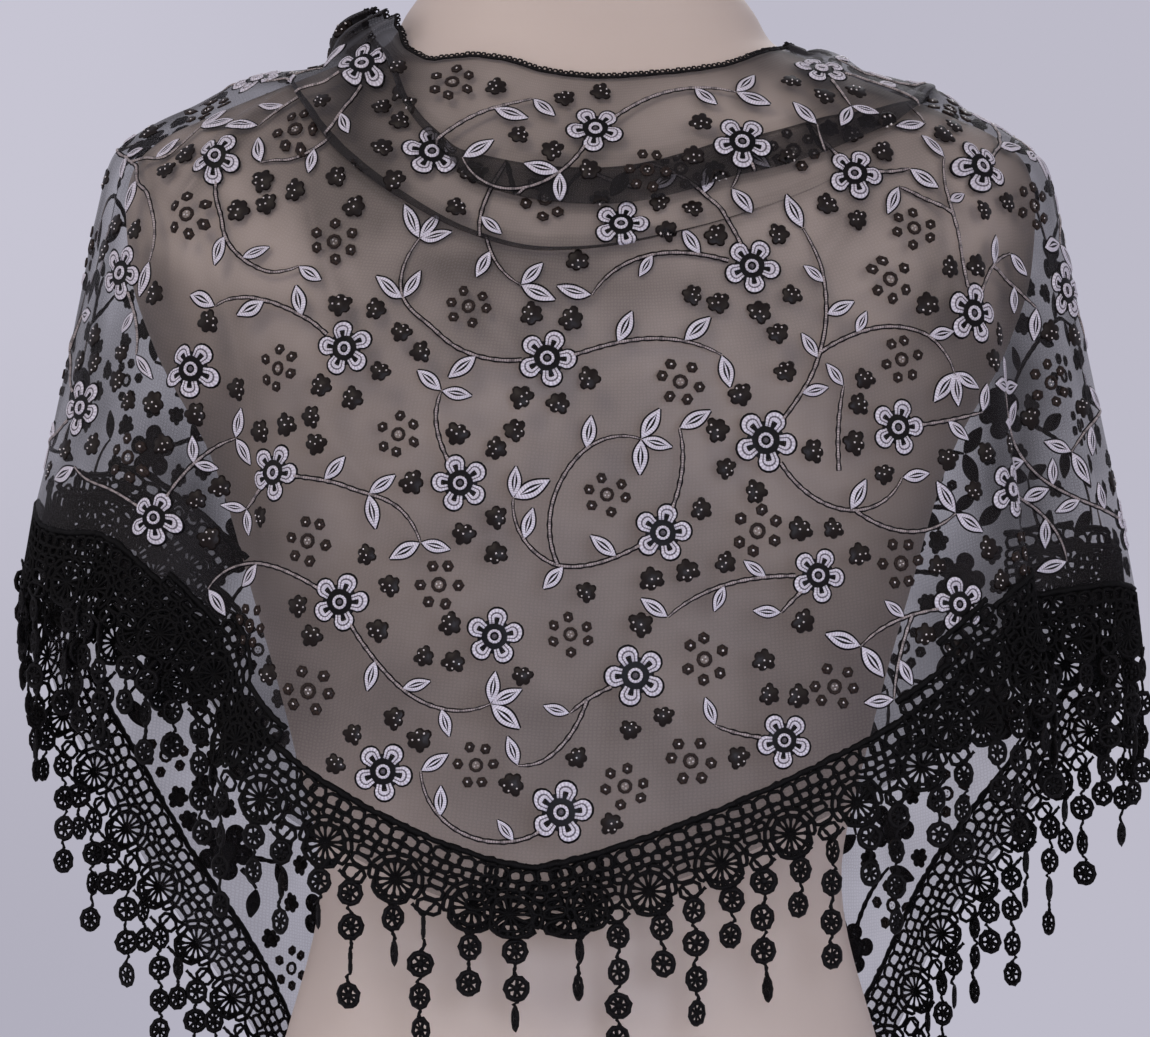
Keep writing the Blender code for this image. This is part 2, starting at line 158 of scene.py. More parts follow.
# How much darker than one plain layer the net looks where it is creased, level, bunched or folded: partly
# more net lying over itself, and partly painted shade along the creases and in the pleats.
fullnessAndShade = dict(plain=1.20, crease=1.8, sloping=0.7, level=1.6, bunched=2.0, puff=3.5, puffWide=0.026,
                puffHigh=0.010, tails=0.5, tailsFrom=0.165, turned=4.2, pleatShade=0.45)


def smoothCurve(rows, column, at):  # a curve through one column of a table that never overshoots
    x = np.array([row[0] for row in rows])
    y = np.array([getattr(row, column) for row in rows])
    step, slope = np.diff(x), np.diff(y) / np.diff(x)
    before, after = slope[:-1], slope[1:]
    near, far = 2 * step[1:] + step[:-1], step[1:] + 2 * step[:-1]
    same = before * after > 0
    safeBefore, safeAfter = np.where(same, before, 1.0), np.where(same, after, 1.0)
    middle = np.where(same, (near + far) / (near / safeBefore + far / safeAfter), 0.0)
    lean = np.concatenate([slope[:1], middle, slope[-1:]])
    at = np.clip(at, x[0], x[-1])
    k = np.clip(np.searchsorted(x, at, side="right") - 1, 0, len(step) - 1)
    t = (at - x[k]) / step[k]
    return (y[k] * (2 * t**3 - 3 * t**2 + 1) + y[k + 1] * (3 * t**2 - 2 * t**3)
            + step[k] * (lean[k] * (t**3 - 2 * t**2 + t) + lean[k + 1] * (t**3 - t**2)))


def ramp(t):  # 0 to 1 with soft ends
    t = np.clip(t, 0, 1)
    return t * t * (3 - 2 * t)


def bump(t):  # 1 at 0, falling softly to 0 at 1 on both sides
    return ramp(1 - np.abs(t))


def circle(count):  # angles at even steps all round
    return np.linspace(0, 2 * math.pi, count + 1)[:-1]


def flatRing(turn, radius):
    return np.stack([np.cos(turn) * radius, np.sin(turn) * radius, 0 * turn], axis=-1)


def unit(v):  # the same direction, one metre long
    return v / np.maximum(np.linalg.norm(v, axis=-1, keepdims=True), 1e-12)


def formDepth(x, y, z):  # how deep the form is at the back or at the front
    swell = -((x / form["bustHalfWidth"]) ** 4) - ((z - form["bustHeight"]) / form["bustRise"]) ** 2
    front = smoothCurve(formSections, "front", z) + form["bustDepth"] * np.exp(swell)
    return np.where(y < 0, smoothCurve(formSections, "back", z), front)


def formReach(point):  # 1 on the form, more outside it
    x, y, z = point[..., 0], point[..., 1], point[..., 2]
    across = np.abs(x) / smoothCurve(formSections, "halfWidth", z)
    along = np.abs(y) / formDepth(x, y, np.clip(z, 0, formSections[-1].height))
    return (across ** form["squareness"] + along ** form["squareness"]) ** (1 / form["squareness"])


def clearOfForm(point, gap, rounds=6):  # moves places outwards until they clear the form
    nudge = 0.0004
    for _ in range(rounds):
        reach = formReach(point)
        lean = np.stack([(formReach(point + nudge * a) - reach) / nudge for a in np.eye(3)], axis=-1)
        steep = np.linalg.norm(lean, axis=-1)
        short = gap - (reach - 1) / steep
        point = point + np.where(short > 0, short / steep, 0)[..., None] * lean
    return point


def ringPoint(around, share):  # a place on the ring table, before any folds
    at = {c: smoothCurve(rings, c, share) for c in rings[0]._fields[1:]}
    hand, turn = np.sign(around), np.abs(around)
    behind = turn < cloth["sideAt"]
    quarter = np.where(behind, turn / cloth["sideAt"], (1 - turn) / (1 - cloth["sideAt"]))
    angle = np.clip(quarter, 0, 1) * math.pi / 2
    out, inward = np.sin(angle), np.cos(angle)
    xBack = at["backX"] + (hand * at["sideX"] - at["backX"]) * out
    xFront = hand * (at["endX"] + (at["sideX"] - at["endX"]) * out)
    x = np.where(behind, xBack, xFront)
    y = np.where(behind, at["backY"], at["endY"]) * inward
    low = np.where(behind, at["backZ"], at["endZ"])
    slack = np.where(hand < 0, np.where(behind, cloth["leftBackDrop"], cloth["leftTailDrop"]), 0)
    rise = out ** (at["swing"] * (1 + slack * share))
    z = low + (at["sideZ"] - low) * rise - cloth["tilt"] * x * share**3
    z = z + sum(f.rise * np.exp(-(((around - f.around) / f.spread) ** 2)) for f in hemLifts) * share**2
    return np.stack([x, y, z], axis=-1)


def drape(around, share):  # the cloth folded and rolled, but without its pleats
    around, share = np.broadcast_arrays(np.asarray(around, float), np.asarray(share, float))
    point = ringPoint(around, share)
    out = sum(f.depth * np.exp(-(((around - f.around) / f.spread) ** 2))
              * ramp((share - f.start) / (1 - f.start)) for f in folds)
    level = unit(point[..., :2])
    point[..., :2] += level * out[..., None]
    point = clearOfForm(point, cloth["clear"])
    x, y, onTop = point[..., 0], point[..., 1], ramp((point[..., 2] - 0.54) / 0.05)
    for roll in rolls:
        across = 1 - np.clip(np.abs(x - roll.across) / roll.halfWidth, 0, 1) ** roll.blunt
        along = np.clip((y - roll.behind) / roll.halfLength, -1, 1) * math.pi / 2
        much = across**2 * np.cos(along) ** 2 * onTop
        point[..., 2] += roll.rise * much
        point[..., 0] += roll.swell * (x - roll.across) * much
    return clearOfForm(point, cloth["clear"] * 0.7, rounds=2)


def softRelief(around, share):  # how far the long creases lift the cloth
    relief = np.zeros(np.broadcast_shapes(np.shape(around), np.shape(share)))
    for soft in softCreases:
        x = (around - soft.fromAround) * cloth["alongRow"]
        y = (share - soft.fromShare) * cloth["alongColumn"]
        dx = (soft.toAround - soft.fromAround) * cloth["alongRow"]
        dy = (soft.toShare - soft.fromShare) * cloth["alongColumn"]
        t = np.clip((x * dx + y * dy) / (dx * dx + dy * dy), 0, 1)
        sideways = np.hypot(x - t * dx, y - t * dy)
        bend = 0.25 * soft.width * np.sin(t * 9 + soft.fromShare * 40)
        ridge = np.exp(-(((sideways + bend) / soft.width) ** 2))
        relief = relief + soft.height * ridge * np.sin(math.pi * t) ** 0.7
    return relief


def outward(around, share):  # the cloth's outward direction
    step = 0.002
    along = drape(around + step, share) - drape(around - step, share)
    down = drape(around, share + step) - drape(around, np.maximum(share - step, 0))
    return unit(np.cross(down, along))


def pleatRows(pleat, around, count):  # share and lift down a Z-shaped pleat, one column a place round
    crease, depth = smoothCurve(pleat, "share", around), smoothCurve(pleat, "depth", around)
    margin = cloth["pleatMargin"]
    top, foot = crease - depth - margin, crease + margin
    taken = ramp((depth - 0.0005) / cloth["pleatTurn"])
    t = np.linspace(0, 1, count + 1)[:, None]
    swing = (depth + (foot - top) / 2) / 2 * taken
    share = top + (foot - top) * t + swing * np.sin(2 * math.pi * t)
    fall = 2 * (1 - t) + 0.8 / (2 * math.pi) * np.sin(4 * math.pi * t)
    # painted shade: the pleat is drawn darker than its three layers make it, darkest along its turned edge
    turned = np.exp(-(((t - 0.74) / 0.035) ** 2))
    dark = fullnessAndShade["pleatShade"] + fullnessAndShade["turned"] * turned
    return share, fall * taken, top, foot, taken, dark * taken


def clothPaths(around):  # every row's share and lift, from the neckline to the lace
    up, upLift, upTop, upFoot, taken, upFull = pleatRows(upperPleat, around, cloth["rowsUpper"])
    low, lowLift, lowTop, lowFoot, lowTaken, lowFull = pleatRows(lowerPleat, around, cloth["rowsLower"])
    above = np.linspace(0, 1, cloth["rowsAbove"], endpoint=False)[:, None]
    start = smoothCurve(napeEdge, "share", around)
    between = np.linspace(0, 1, cloth["rowsBetween"] + 1)[1:-1, None]
    below = np.linspace(0, 1, cloth["rowsBelow"] + 1)[1:, None]
    share = np.vstack([start + (upTop - start) * above, up, upFoot + (lowTop - upFoot) * between, low,
                       lowFoot + (1 - lowFoot) * below])
    flat = [0 * rows * taken for rows in (above, between, below)]
    risen, sunk = 2 * ramp(above * 1.1) * taken, 2 * ramp(between) * lowTaken
    lift = np.vstack([risen, upLift, sunk, lowLift, flat[2]])
    full = np.vstack([flat[0], upFull, flat[1], lowFull, flat[2]])
    return share, lift * cloth["layer"], full


def placeColumns():  # closer together where the cloth is gathered
    fine = np.linspace(-1, 1, 4001)
    crowd = 1 + sum(2.2 * bump((fine - g.around) / (g.halfWidth * 1.1)) for g in gathers)
    run = np.concatenate([[0], np.cumsum((crowd[1:] + crowd[:-1]) / 2)])
    return np.interp(np.linspace(0, run[-1], cloth["columns"] + 1), run, fine)


def layCloth():  # columns, shares, points and how dark the net looks at each, from more net and from painted shade and light
    around = placeColumns()
    share, lift, full = clothPaths(around)
    a = np.broadcast_to(around, share.shape)
    swung = a
    for g in gathers:
        much = ramp(1.6 * bump((a - g.around) / g.halfWidth)) * ramp(1.25 * (1 - share / g.reach))
        wave = np.sin(2 * math.pi * (a - g.around) / g.pitch)
        swung = swung + g.swing * wave * much
        lift = lift + g.lift * (1 + wave) * much
    relief = softRelief(swung, share)
    point = drape(swung, share) + outward(swung, share) * (lift + relief)[..., None]
    plain = np.linalg.norm(np.gradient(ringPoint(a, share), axis=1), axis=-1)
    stretch = np.linalg.norm(np.gradient(point, axis=1), axis=-1) / np.maximum(plain, 1e-5)
    steep = np.abs(np.gradient(relief, axis=1)) / np.maximum(plain, 1e-5)
    upright = outward(swung, share)[..., 2]
    level = (fullnessAndShade["sloping"] * ramp((upright - 0.55) / 0.4)
             + fullnessAndShade["level"] * ramp((upright - 0.84) / 0.12))
    bunched = sum(fullnessAndShade["bunched"] * bump((a - g.around) / g.halfWidth)
                  * ramp(1.4 * (1 - share / g.reach)) for g in gathers)
    x, z = point[..., 0], point[..., 2]
    puff = (fullnessAndShade["puff"] * np.exp(-(((x - cloth["puffX"]) / fullnessAndShade["puffWide"]) ** 4))
            * ramp((z - cloth["puffZ"]) / fullnessAndShade["puffHigh"]))
    # painted shade and painted light in the listed spots, with some real pinching of the net
    pinchShadeAndLight = sum(p.much * np.exp(-((x - p.x) / p.wide) ** 2 - ((z - p.z) / p.high) ** 2) for p in pinchShadeAndLightSpots)
    sides = fullnessAndShade["tails"] * ramp((-x - fullnessAndShade["tailsFrom"]) / 0.020) * ramp((share - 0.5) / 0.2)
    # partly more layers of net, partly painted shade on the creases' slopes and in the pleats
    seen = (np.clip(stretch, 1, 3) * fullnessAndShade["plain"] + full + fullnessAndShade["crease"] * steep + level + bunched
            + puff + sides + pinchShadeAndLight)
    return around, share, point, seen


def linear(hexColour):  # sRGB hex to linear
    value = np.array([int(hexColour[i:i + 2], 16) / 255 for i in (1, 3, 5)])
    value = np.where(value <= 0.04045, value / 12.92, ((value + 0.055) / 1.055) ** 2.4)
    return (*[float(v) for v in value], 1.0)


def addNode(tree, kind, settings=None, inputs=None):
    node = tree.nodes.new(kind)
    for name, value in (settings or {}).items():
        setattr(node, name, value)
    for name, value in (inputs or {}).items():
        socket = node.inputs[name]
        if isinstance(value, bpy.types.NodeSocket):
            tree.links.new(value, socket)
        else:
            socket.default_value = value
    return node


def newMaterial(name, finish=None):  # finish sets the shader's own sockets
    made = bpy.data.materials.new(name)
    made.use_nodes = True
    tree = made.node_tree
    tree.nodes.clear()
    out = addNode(tree, "ShaderNodeOutputMaterial")
    shader = addNode(tree, "ShaderNodeBsdfPrincipled", None, finish)
    tree.links.new(shader.outputs[0], out.inputs["Surface"])
    return made, tree, shader


def finishPiece(name, mesh, materials):
    mesh.name = name
    for material in materials:
        mesh.materials.append(material)
    mesh.shade_smooth()
    piece = bpy.data.objects.new(name, mesh)
    scene.collection.objects.link(piece)
    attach(piece, "root")
    return piece


def toMesh(bm, name):
    mesh = bpy.data.meshes.new(name)
    bm.to_mesh(mesh)
    bm.free()
    return mesh


def closeShape(name, bm):
    bmesh.ops.recalc_face_normals(bm, faces=bm.faces)
    return toMesh(bm, name)


def layGrid(bm, points):  # a sheet of faces through rows of points
    rows, columns = points.shape[:2]
    made = bmesh.ops.create_grid(bm, x_segments=columns - 1, y_segments=rows - 1, size=1)["verts"]
    for vert, place in zip(made, points.reshape(-1, 3)):
        vert.co = place
    return made


def plasticMaterial():  # ABS shell, moulded and sprayed cream: smooth, faint orange peel
    made, tree, shader = newMaterial("creamMouldedPlastic", {"Roughness": 0.52})
    place = addNode(tree, "ShaderNodeTexCoord").outputs["Object"]
    mottle = addNode(tree, "ShaderNodeTexNoise", None, {"Vector": place, "Scale": 9.0, "Detail": 3.0})
    tint = addNode(tree, "ShaderNodeMix", {"data_type": "RGBA"},
                   {"Factor": mottle.outputs["Fac"], "A": linear("#afa196"), "B": linear("#b9aba0")})
    tree.links.new(tint.outputs["Result"], shader.inputs["Base Color"])
    peel = addNode(tree, "ShaderNodeTexNoise", None, {"Vector": place, "Scale": 420.0, "Detail": 2.0})
    relief = addNode(tree, "ShaderNodeBump", None,
                     {"Strength": 0.06, "Distance": 0.0004, "Height": peel.outputs["Fac"]})
    tree.links.new(relief.outputs["Normal"], shader.inputs["Normal"])
    return made


def netMaterial():  # nylon tulle, warp-knitted and dyed black: a hazy tint, darker where it is gathered, with painted shade along its creases and pleats and painted light in a few spots
    made, tree, shader = newMaterial("blackNylonTulle", {
        "Base Color": linear("#110d0f"), "Roughness": 0.55, "Sheen Weight": 0.05,
        "Specular IOR Level": 0.25})
    at = addNode(tree, "ShaderNodeUVMap", {"uv_map": "weave"}).outputs["UV"]
    # holes of 0.9 mm would not show, so they are drawn 1.5 mm apart
    holes = addNode(tree, "ShaderNodeTexVoronoi",
                    {"feature": "DISTANCE_TO_EDGE", "voronoi_dimensions": "2D"},
                    {"Vector": at, "Scale": 1 / 0.0015, "Randomness": 0.35})
    yarn = addNode(tree, "ShaderNodeMapRange", None,
                   {"Value": holes.outputs["Distance"], "From Min": 0.05, "From Max": 0.30,
                    "To Min": 0.695, "To Max": 0.750})
    place = addNode(tree, "ShaderNodeTexCoord").outputs["Object"]
    cloud = addNode(tree, "ShaderNodeTexNoise", None, {"Vector": place, "Scale": 21.0, "Detail": 3.5})
    haze = addNode(tree, "ShaderNodeMapRange", None,
                   {"Value": cloud.outputs["Fac"], "From Min": 0.35, "From Max": 0.65,
                    "To Min": 0.74, "To Max": 1.26})
    seen = addNode(tree, "ShaderNodeAttribute", {"attribute_name": "fullnessAndShade"}).outputs["Fac"]
    layers = addNode(tree, "ShaderNodeMath", {"operation": "MULTIPLY"},
                     {0: seen, 1: haze.outputs["Result"]})
    clear = addNode(tree, "ShaderNodeMath", {"operation": "POWER"},
                    {0: yarn.outputs["Result"], 1: layers.outputs[0]})
    cover = addNode(tree, "ShaderNodeMath", {"operation": "SUBTRACT"}, {0: 1.0, 1: clear.outputs[0]})
    tree.links.new(cover.outputs[0], shader.inputs["Alpha"])
    return made


def makeForm():
    rows = np.array([s.height for s in formSections])
    z = np.interp(np.linspace(0, len(rows) - 1, form["rings"] + 1), np.arange(len(rows)), rows)
    turn = circle(form["sides"])
    z, turn = np.broadcast_arrays(z[:, None], turn)
    corner = 2 / form["squareness"]
    side = -np.cos(turn)
    x = smoothCurve(formSections, "halfWidth", z) * np.sign(np.sin(turn)) * np.abs(np.sin(turn)) ** corner
    y = formDepth(x, side, z) * np.sign(side) * np.abs(side) ** corner
    point = np.stack([x, y, z], axis=-1)
    bm = bmesh.new()
    layGrid(bm, np.concatenate([point, point[:, :1]], axis=1))
    bmesh.ops.remove_doubles(bm, verts=bm.verts, dist=1e-6)
    bmesh.ops.holes_fill(bm, edges=bm.edges)
    piece = finishPiece("formBody", closeShape("formBody", bm), [plasticMaterial()])
    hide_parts("dress_form")
    return piece


def makeNet(point, seen):
    frames, total = hemFrames(point)
    run = np.concatenate([[0], np.cumsum(np.linalg.norm(np.diff(point[-1], axis=0), axis=-1))])
    along = run / run[-1] * total
    inset = 0 * along - cloth["laceInset"]
    behind = [onFrames(frames, total, along, 0 * along + down, inset) for down in cloth["behindLace"]]
    point = np.concatenate([point, behind])
    seen = np.concatenate([seen, np.full((len(behind), point.shape[1]), cloth["laceFullness"])])
    bm = bmesh.new()
    layGrid(bm, point)
    mesh = toMesh(bm, "netSheet")
    full = mesh.attributes.new("fullnessAndShade", "FLOAT", "POINT")
    full.data.foreach_set("value", seen.reshape(-1).astype(np.float32))
    weave = mesh.uv_layers.new(name="weave")
    along = np.cumsum(np.pad(np.linalg.norm(np.diff(point, axis=1), axis=-1).mean(axis=0), (1, 0)))
    down = np.cumsum(np.pad(np.linalg.norm(np.diff(point, axis=0), axis=-1), ((1, 0), (0, 0))), axis=0)
    flat = np.stack(np.broadcast_arrays(along, down), axis=-1).reshape(-1, 2).astype(np.float32)
    corner = np.empty(len(mesh.loops), np.int32)
    mesh.loops.foreach_get("vertex_index", corner)
    weave.data.foreach_set("uv", flat[corner].reshape(-1))
    piece = finishPiece("netSheet", mesh, [netMaterial()])
    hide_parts("cowl_upper", "cowl_lower", "back_panel",
                "shoulder_left", "shoulder_right", "tail_left", "tail_right")
    return piece


def makeStage():
    floor = dict(width=7.0, near=-3.2, far=1.85)
    bm = bmesh.new()
    bmesh.ops.create_grid(bm, x_segments=1, y_segments=1, size=0.5)
    bmesh.ops.scale(bm, vec=(floor["width"], floor["far"] - floor["near"], 1), verts=bm.verts)
    bmesh.ops.translate(bm, vec=(0, (floor["near"] + floor["far"]) / 2, 0), verts=bm.verts)
    mesh = toMesh(bm, "studioFloor")
    # matt painted board: it takes soft shadows and shows no reflection
    mesh.materials.append(newMaterial("paleFloor", {"Base Color": linear("#d9d7de"), "Roughness": 0.8})[0])
    piece = bpy.data.objects.new("studioFloor", mesh)
    scene.collection.objects.link(piece)


def makeLight(name, place, aim, size, power, colour="#ffffff", spread=math.pi):
    data = bpy.data.lights.new(name, "AREA")
    data.shape, data.size, data.energy, data.spread = "DISK", size, power, spread
    data.color = linear(colour)[:3]
    lamp = bpy.data.objects.new(name, data)
    lamp.rotation_euler = (Vector(aim) - Vector(place)).to_track_quat("-Z", "Y").to_euler()
    lamp.location = place
    scene.collection.objects.link(lamp)


def makeStudio():
    camera = bpy.data.objects.new("camera", bpy.data.cameras.new("camera"))
    camera.data.sensor_width = 36.0
    camera.data.lens = 165.6
    camera.data.clip_end = 40
    camera.location = (-0.0026, -2.4, 0.433)
    camera.rotation_euler = (math.pi / 2, 0, 0)
    scene.collection.objects.link(camera)
    scene.camera = camera
    world = bpy.data.worlds.new("studio")
    world.use_nodes = True
    scene.world = world
    tree = world.node_tree
    back = tree.nodes["Background"]
    # painted light on the backdrop: lighter towards the top and darker towards the bottom on the left, an
    # even mid tone on the right; this world colour also lights the scene
    way = addNode(tree, "ShaderNodeTexCoord").outputs["Generated"]
    axes = addNode(tree, "ShaderNodeSeparateXYZ", None, {"Vector": way}).outputs
    left = addNode(tree, "ShaderNodeMapRange", {"interpolation_type": "SMOOTHSTEP"},
                   {"Value": axes["X"], "From Min": 0.03, "From Max": -0.11})
    top = addNode(tree, "ShaderNodeMapRange", {"interpolation_type": "SMOOTHSTEP"},
                  {"Value": axes["Z"], "From Min": -0.09, "From Max": 0.06})
    side = addNode(tree, "ShaderNodeMix", {"data_type": "RGBA"},
                   {"Factor": top.outputs[0], "A": linear("#b1afbd"), "B": linear("#c7c5d3")})
    paintedBackdropLight = addNode(tree, "ShaderNodeMix", {"data_type": "RGBA"},
                   {"Factor": left.outputs[0], "A": linear("#bdbbc9"), "B": side.outputs["Result"]})
    tree.links.new(paintedBackdropLight.outputs["Result"], back.inputs["Color"])
    back.inputs["Strength"].default_value = 1.0
    makeLight("keyLight", (-1.3, -2.4, 2.5), (0, 0, 0.52), 1.4, 27, "#fff1e2")
    makeLight("fillLight", (1.9, -2.0, 1.5), (0, 0, 0.48), 1.8, 14, "#fff4ea")
    makeLight("lowLight", (0.2, -1.7, 0.45), (0, 0, 0.10), 0.5, 0.95, "#dde6ff", 0.9)
    makeLight("sideLight", (-2.4, -0.5, 0.9), (-0.1, 0, 0.5), 1.4, 8, "#fff6ee")
    makeLight("backLight", (0.4, 2.4, 2.0), (0, 0, 0.45), 1.8, 14)
    scene.view_settings.view_transform = "Standard"


def mapCloth(point, share):  # the cloth at even steps down every column, with what a motif needs at each
    columns = point.shape[1] - 1
    run = np.vstack([np.zeros(columns + 1), np.cumsum(np.linalg.norm(np.diff(point, axis=0), axis=-1), 0)])
    level = np.linspace(0, 1, layout["levels"] + 1)
    even = np.empty((len(level), columns + 1, 4))
    for j in range(columns + 1):
        at = level * run[-1, j]
        for k in range(3):
            even[:, j, k] = np.interp(at, run[:, j], point[:, j, k])
        even[:, j, 3] = np.interp(at, run[:, j], run[:, j] - share[:, j] * run[-1, j])
    across = np.gradient(even[..., :3], axis=1)
    down = np.gradient(even[..., :3], axis=0)
    e1 = unit(across)
    normal = unit(np.cross(across, -down))
    e2 = np.cross(normal, e1)
    a = np.linalg.norm(across, axis=-1)
    b1, b2 = np.sum(down * e1, axis=-1), np.sum(down * e2, axis=-1)
    b2 = np.minimum(b2, -1e-4)
    steps = np.stack([1 / a, -b1 / (a * b2), 1 / b2], axis=-1)
    return np.concatenate([even, normal, steps], axis=-1), run[-1], a * np.linalg.norm(down, axis=-1)


def sample(c, l):  # place, hidden length, normal and steps at any column and level
    grid = clothGrid
    c, l = np.clip(c, 0, grid.shape[1] - 1.001), np.clip(l, 0, grid.shape[0] - 1.001)
    j, i = c.astype(int), l.astype(int)
    u, v = (c - j)[..., None], (l - i)[..., None]
    return ((grid[i, j] * (1 - u) + grid[i, j + 1] * u) * (1 - v)
            + (grid[i + 1, j] * (1 - u) + grid[i + 1, j + 1] * u) * v)


def shift(c, l, x, y):  # moves a place x to the right and y up the cloth, in metres
    s = sample(c, l)
    return c + x * s[..., 7] + y * s[..., 8], l + y * s[..., 9]


def away(c, l, heading, far):  # the place this far off in a heading
    return shift(c, l, np.cos(heading) * far, np.sin(heading) * far)


def allRound(count):  # even headings from a random first one
    return rng.uniform(0, 2 * math.pi) + np.arange(count) * 2 * math.pi / count


class Layout:  # what is already on the cloth, as discs that stay clear of each other
    def __init__(self):
        self.discs = np.zeros((0, 5))

    def clear(self, c, l, radius, gap, skip=None):  # which places are on the cloth and clear of the rest
        s = sample(c, l)
        edge = radius + layout["edge"]
        last = np.array(clothGrid.shape) - 1
        lengthHere = np.interp(c, np.arange(last[1] + 1), columnLength)
        inside = ((c > edge * s[..., 7]) & (c < last[1] - edge * s[..., 7])
                  & (l / last[0] * lengthHere > edge) & ((1 - l / last[0]) * lengthHere > edge))
        if len(self.discs):
            apart = np.linalg.norm(s[..., None, :4] - self.discs[:, :4], axis=-1)
            need = radius + self.discs[:, 4] + gap
            if skip is not None:
                need[skip] = 0
            inside &= np.all(apart > need, axis=-1)
        return inside

    def add(self, c, l, radius):
        s = sample(np.atleast_1d(c), np.atleast_1d(l))
        discs = np.concatenate([s[..., :4], np.full((*s.shape[:-1], 1), radius)], axis=-1)
        self.discs = np.concatenate([self.discs, discs.reshape(-1, 5)])


layout = dict(levels=520, edge=0.003, tries=9000, flowerEvery=0.0595, flowerRadius=0.0130,
              puffFlower=(-0.099, -0.055, 0.640), floretRadius=0.0050, floretDisc=0.0043,
              floretOut=(0.0200, 0.0230), floretGap=0.0010, dotRadius=0.0108, dotEvery=0.058, dotTries=4200,
              dotGap=0.0042, lateDotGap=0.0030, twoVines=0.85, forked=0.7, looseVines=60,
              looseFlorets=4200, looseFloretCount=110, looseFloretGap=0.0018)
leaf = dict(length=0.0140, width=0.0060, slit=0.00140, steps=8, height=0.0009, start=0.0010, disc=0.0033,
            gap=0.0008, tipSize=(0.86, 1.12), sideSize=(0.72, 1.05), tipTurn=(0.95, 1.35),
            sideTurn=(0.7, 1.1), firstAt=0.012, apart=(0.013, 0.024), paired=0.15)
vine = dict(steps=32, ways=40, width=0.00104, height=0.0008, rim=0.00066, clear=0.0019, gap=0.0013,
            disc=0.0013, bend=(2, 18), bendMore=(8, 44), length=(0.055, 0.098), shortest=0.030,
            wobble=0.16, wobbleEvery=0.00546)


def somewhere(count):  # places spread evenly over the cloth's area
    weight = clothArea.reshape(-1) / clothArea.sum()
    pick = rng.choice(weight.size, size=count, p=weight)
    i, j = np.divmod(pick, clothArea.shape[1])
    return j + rng.random(count), i + rng.random(count)


def growVines(c, l, start, heading, bend, bendMore, length):  # many at once, as columns and levels
    c, l = away(c, l, heading, start)
    grown = [(c, l, heading)]
    stride = length / vine["steps"]
    for k in range(vine["steps"]):
        c, l = away(c, l, heading, stride)
        heading = heading + stride * (bend + bendMore * (k / vine["steps"]))
        grown.append((c, l, heading))
    return np.array(grown).transpose(1, 0, 2)


def liesFlat(c, l, radius):  # the cloth under a motif is neither folded nor pinched
    spot = sample(*away(c, l, np.arange(4) * math.pi / 2, radius))[:, :3]
    spans = np.linalg.norm(spot[:2] - spot[2:], axis=-1) / (2 * radius)
    return bool(np.all((spans > 0.80) & (spans < 1.15)))


def tryLeaf(made, c, l, heading, size):  # the two discs of a leaf, if there is room for it
    lc, ll = away(c, l, heading, np.array([0.30, 0.72]) * size + leaf["start"])
    free = np.all(made.clear(lc, ll, leaf["disc"] * size / leaf["length"], leaf["gap"]))
    return (lc, ll) if free and liesFlat(lc.mean(), ll.mean(), size / 2) else None


def layVine(made, plan, c, l, start, headings, shortest=vine["shortest"], skip=None):
    # the longest of several tries at a vine from here, with its leaves, if any is long enough
    ways, steps = len(headings), vine["steps"]
    way = np.where(rng.random(ways) < 0.5, -1.0, 1.0)
    bend, more = (way * rng.uniform(*vine[key], ways) for key in ("bend", "bendMore"))
    length = rng.uniform(*vine["length"], ways)
    grown = growVines(c, l, start, headings, bend, more, length)
    cs, ls = grown[:2]
    ok = made.clear(cs[2:], ls[2:], vine["clear"], vine["gap"])
    if skip is not None:  # the first steps may pass over what the vine grows from
        ok[:5] = made.clear(cs[2:7], ls[2:7], vine["clear"], vine["gap"], skip)
    good = np.where(ok.all(axis=0), len(ok), np.argmin(ok, axis=0)) + 1
    reach = good / steps * length - 0.006
    best = int(np.argmax(reach + rng.uniform(0, 0.02, ways)))
    if reach[best] < shortest:
        return None
    keep = max(4, int(good[best] - 2 * (good[best] < steps)))
    grid = np.arange(steps + 1)
    vc, vl, vh = (np.interp(np.linspace(0, keep, steps + 1), grid, a[:, best]) for a in grown)
    long = length[best] * keep / steps
    leaves = []

    def growLeaf(k, heading, size):
        spot = tryLeaf(made, vc[k], vl[k], heading, size)
        if spot is not None:
            leaves.append((vc[k], vl[k], heading, size, spot))
        return spot is not None

    for turn in rng.permutation([-1.0, 0.0, 1.0]):
        size = leaf["length"] * rng.uniform(*leaf["tipSize"])
        growLeaf(-1, vh[-1] + turn * rng.uniform(*leaf["tipTurn"]) + rng.uniform(-0.15, 0.15), size)
    tipped, lastLeaf = bool(leaves), 0
    hand = rng.choice([-1.0, 1.0])
    along = leaf["firstAt"] + rng.uniform(0, 0.010)
    while along < long - 0.013:
        k = int(along / long * steps)
        size = leaf["length"] * rng.uniform(*leaf["sideSize"])
        if growLeaf(k, vh[k] + hand * rng.uniform(*leaf["sideTurn"]), size):
            lastLeaf = k
            if rng.random() < leaf["paired"]:
                growLeaf(k, vh[k] - hand * 0.9, size * 0.9)
        hand = -hand
        along += rng.uniform(*leaf["apart"])
    if not leaves:
        return None
    if not tipped:  # a vine without a leaf at its tip ends at its last leaf
        vc, vl, vh = (np.interp(np.linspace(0, lastLeaf, steps + 1), grid, a) for a in (vc, vl, vh))
        long *= lastLeaf / steps
    for *place, (lc, ll) in leaves:
        plan["leaves"].append((*place[:3], place[3] / leaf["length"]))
        made.add(lc, ll, leaf["disc"] * place[3] / leaf["length"])
    before = len(made.discs)
    made.add(vc[1::2], vl[1::2], vine["disc"])
    plan["vines"].append((vc, vl, long))
    return vc, vl, vh, np.arange(before, len(made.discs))


